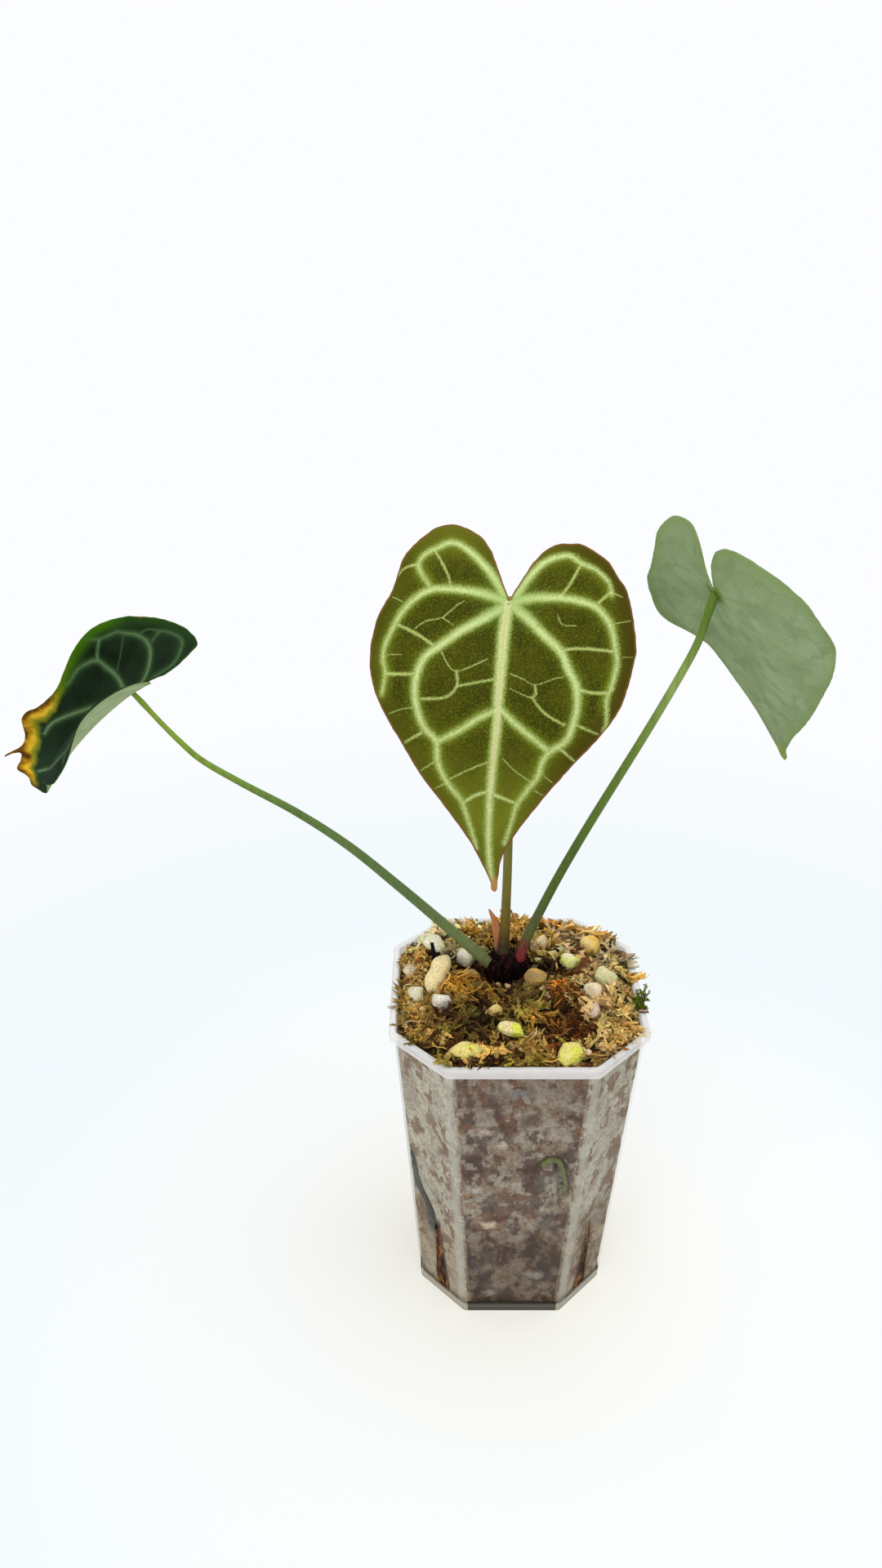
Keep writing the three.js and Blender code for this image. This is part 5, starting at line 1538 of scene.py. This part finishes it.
def blade_material(name, top, under, fuzz, dry=None):
    """Velvet above, matte grey-green below; `dry` gives a withered margin its colours."""
    material, tree, shader = new_material(name, 0.85, 0.05)
    field, glow, edge = parts_of(tree, attribute(tree, "marks", "Color"), "Color")
    field = times(tree, calc(tree, "SUBTRACT", field, 0.5), 4.0)
    edge = times(tree, edge, 10.0)
    above = attribute(tree, "marks", "Alpha")
    spread = vector_calc(tree, "MULTIPLY", attribute(tree, "spread", "Vector"), (100, 100, 100))
    across, down, rib_gap = parts_of(tree, spread)
    flat_spread = vector_calc(tree, "MULTIPLY", spread, (1, 1, 0))
    from_joint = vector_calc(tree, "LENGTH", flat_spread)
    group = tree.nodes.new("ShaderNodeGroup")
    group.node_tree = VEIN_EDGE
    tree.links.new(field, group.inputs["Field"])
    group.inputs["Fuzz"].default_value = fuzz
    mask, grain = group.outputs["Mask"], group.outputs["Grain"]
    cloudy = cloud(tree, 9, 3, 0.5)
    uneven = calc(tree, "SUBTRACT", grain, 0.5)
    lit, line_gap, rim_gap = (scaled(tree, uneven, 0.5, value) for value in (glow, rib_gap, edge))
    tip = fade(tree, scaled(tree, grain, 1.2, down), top["tip_from"], top["tip_from"] + 3.2)

    ends = calc(tree, "MAXIMUM", fade(tree, down, 34, 62), fade(tree, down, -6, -24))
    near_edge = fade(tree, scaled(tree, grain, 2.5, edge), 6.5, 3.0)
    heart = fade(tree, from_joint, 13, 1)
    # The light flecks over the velvet are a painted highlight, glints on its hairs.
    velvet = coats(
        tree, top["deep"], top, ("mid", fade(tree, cloudy, 0.35, 0.65)), ("tipward", ends, 0.75),
        ("sparkle", fade(tree, grain, 0.44, 0.70), 0.55), ("halo", fade(tree, lit, 0.12, 0.8)),
        ("near_side", near_edge, 0.5), ("far_side", near_edge, fade(tree, across, -6, -20), 0.85),
        ("heart", heart, fade(tree, lit, 0.05, 0.8), 0.9), ("vein_edge", mask, 2.0),
    )
    pale = coats(
        tree, top["fine"], top, ("vein", fade(tree, glow, 0.15, 0.5)),
        ("far_vein", fade(tree, down, 24, 46)), ("heart_vein", heart, 0.7),
        ("rib", fade(tree, rib_gap, 1.3, 0.5), 0.75),
        ("vein_shade", fade(tree, grain, 0.55, 0.38), 0.4),
    )
    velvet = coats(
        tree, coat(tree, velvet, pale, scaled(tree, mask, 2.0, -1.0)), top,
        ("midrib", fade(tree, line_gap, 0.38, 0.12), fade(tree, down, 66, 35), 0.8),
        ("margin", fade(tree, rim_gap, 0.7, 0.15)), ("tip", tip),
    )
    streak = fade(tree, cloud(tree, 5, 2, 0.5, shift=2.0), 0.5, 0.68)
    below = coats(
        tree, under["plain"], under, ("shade", fade(tree, cloudy, 0.3, 0.7)),
        ("lobe", fade(tree, down, 1, -12)), ("streak", streak, 0.45),
        ("vein", fade(tree, field, -0.7, 0.5), 0.35), ("rim", fade(tree, edge, 3.5, 0), 0.6),
        ("tip", tip), ("fine", fade(tree, cloud(tree, 0.6, 2, 0.6), 0.35, 0.65), 0.14),
        ("joint", fade(tree, from_joint, 4.5, 2), fade(tree, field, -0.6, 0.3), 0.8),
    )
    tint = coat(tree, below, velvet, fade(tree, above, 0.35, 0.65))
    if dry:
        reached = times(tree, fade(tree, down, 24, 45), 3.6)
        ragged = scaled(tree, calc(tree, "SUBTRACT", cloud(tree, 6, 3), 0.5), 4.0, edge)
        ragged = calc(tree, "SUBTRACT", ragged, reached)
        outside = fade(tree, across, 7, 13)
        tint = coat(tree, tint, dry["yellow"], fade(tree, ragged, 1.9, -0.3), outside,
                    fade(tree, down, 18, 28))
        patches = scaled(tree, cloud(tree, 5, 2, 0.5, shift=1.0), 2.4, -1.15)
        burnt = colour_steps(tree, scaled(tree, edge, 0.22, patches), [
            (0.05, dry["brown"]), (0.3, dry["orange"]), (0.55, dry["golden"]),
            (0.8, dry["bright"]),
        ])
        tint = coat(tree, tint, burnt, fade(tree, ragged, 0.2, -1.4), outside)
        # Painted light: a bright green band on the upper face inside the withered margin, where
        # light shines through the blade.
        tint = coat(tree, tint, dry["fresh"], fade(tree, edge, 4.2, 0.5),
                    fade(tree, down, 42, 28), scaled(tree, fade(tree, down, 2, 10), 0.75, 0.25),
                    fade(tree, across, 10, 22), above, 0.85)
    dress(tree, shader, tint, grain, 0.35, 0.25)
    return material


MIDDLE_TOP = dict(
    deep=(0.028, 0.031, 0.0015), mid=(0.046, 0.050, 0.002),
    far_side=(0.050, 0.040, 0.003), near_side=(0.070, 0.070, 0.004), tipward=(0.16, 0.17, 0.013),
    sparkle=(0.14, 0.145, 0.008), halo=(0.13, 0.165, 0.010), fine=(0.43, 0.49, 0.10),
    heart=(0.12, 0.24, 0.04), vein=(0.475, 0.565, 0.235), far_vein=(0.47, 0.54, 0.22),
    vein_edge=(0.26, 0.315, 0.085), vein_shade=(0.31, 0.375, 0.125),
    heart_vein=(0.27, 0.40, 0.12), rib=(0.52, 0.55, 0.235),
    midrib=(0.48, 0.40, 0.22), margin=(0.17, 0.075, 0.022),
    tip=(0.36, 0.17, 0.06), tip_from=70.5,
)
# The left leaf's upper face is the same velvet as the middle leaf's, painted several times darker:
# painted shade on a face turned from the light.
LEFT_TOP_PAINTED_SHADE = dict(
    deep=(0.003, 0.008, 0.002), mid=(0.006, 0.016, 0.006),
    far_side=(0.006, 0.018, 0.006), near_side=(0.006, 0.018, 0.006),
    tipward=(0.016, 0.042, 0.018),
    sparkle=(0.012, 0.025, 0.009), halo=(0.013, 0.031, 0.010), fine=(0.06, 0.11, 0.04),
    heart=(0.025, 0.06, 0.017), vein=(0.10, 0.168, 0.066), far_vein=(0.15, 0.26, 0.13),
    vein_edge=(0.032, 0.066, 0.024), vein_shade=(0.055, 0.10, 0.038),
    heart_vein=(0.09, 0.15, 0.055), rib=(0.09, 0.15, 0.06),
    midrib=(0.12, 0.17, 0.08), margin=(0.012, 0.035, 0.004),
    tip=(0.02, 0.05, 0.02), tip_from=80,
)
RIGHT_TOP = dict(
    deep=(0.026, 0.034, 0.002), mid=(0.048, 0.062, 0.005),
    far_side=(0.05, 0.06, 0.006), near_side=(0.05, 0.06, 0.006),
    tipward=(0.10, 0.12, 0.012),
    sparkle=(0.12, 0.145, 0.018), halo=(0.09, 0.13, 0.018), fine=(0.33, 0.42, 0.10),
    heart=(0.12, 0.23, 0.05), vein=(0.40, 0.49, 0.20), far_vein=(0.40, 0.49, 0.20),
    vein_edge=(0.15, 0.21, 0.05), vein_shade=(0.22, 0.30, 0.10),
    heart_vein=(0.32, 0.46, 0.17), rib=(0.50, 0.55, 0.26),
    midrib=(0.5, 0.45, 0.26), margin=(0.12, 0.11, 0.02),
    tip=(0.20, 0.25, 0.04), tip_from=62,
)
UNDERSIDE = dict(
    plain=(0.262, 0.345, 0.182), shade=(0.205, 0.265, 0.13), lobe=(0.215, 0.285, 0.135),
    streak=(0.15, 0.19, 0.09), vein=(0.165, 0.23, 0.08),
    rim=(0.16, 0.25, 0.06), tip=(0.22, 0.28, 0.05),
    fine=(0.36, 0.42, 0.24), joint=(0.09, 0.17, 0.012),
)
WITHERED = dict(
    yellow=(0.24, 0.24, 0.012), golden=(0.62, 0.35, 0.016), bright=(0.78, 0.46, 0.03),
    orange=(0.27, 0.12, 0.005), brown=(0.09, 0.038, 0.003),
    # fresh is painted light: the bright green band inside the withered margin, where light shines
    # through the blade.
    fresh=(0.04, 0.12, 0.001),
)
# Painted light: the same underside as the other leaves, made about 1.4 times lighter.
LEFT_UNDERSIDE_PAINTED_LIGHT = dict(UNDERSIDE, plain=(0.38, 0.48, 0.26), shade=(0.31, 0.40, 0.20),
                      lobe=(0.36, 0.46, 0.25),
                      streak=(0.25, 0.32, 0.15))
BLADE_FINISH = {  # upper face, underside, fuzz of the veins, withered margin, mesh spacing
    "middle": (MIDDLE_TOP, UNDERSIDE, 1.8, None, 0.46),
    "left": (LEFT_TOP_PAINTED_SHADE, LEFT_UNDERSIDE_PAINTED_LIGHT, 0.7, WITHERED, 0.6),
    "right": (RIGHT_TOP, UNDERSIDE, 0.9, None, 0.6),
}
for side, (top, under, fuzz, dry, cell) in BLADE_FINISH.items():
    leaf = LEAVES[side]
    bm = blade_mesh(leaf, fitted_veins(leaf), cell)
    material = blade_material("blade_" + side + "_velvet", top, under, fuzz, dry)
    make_piece("leaf_" + side, bm, material, ["blade_" + side])
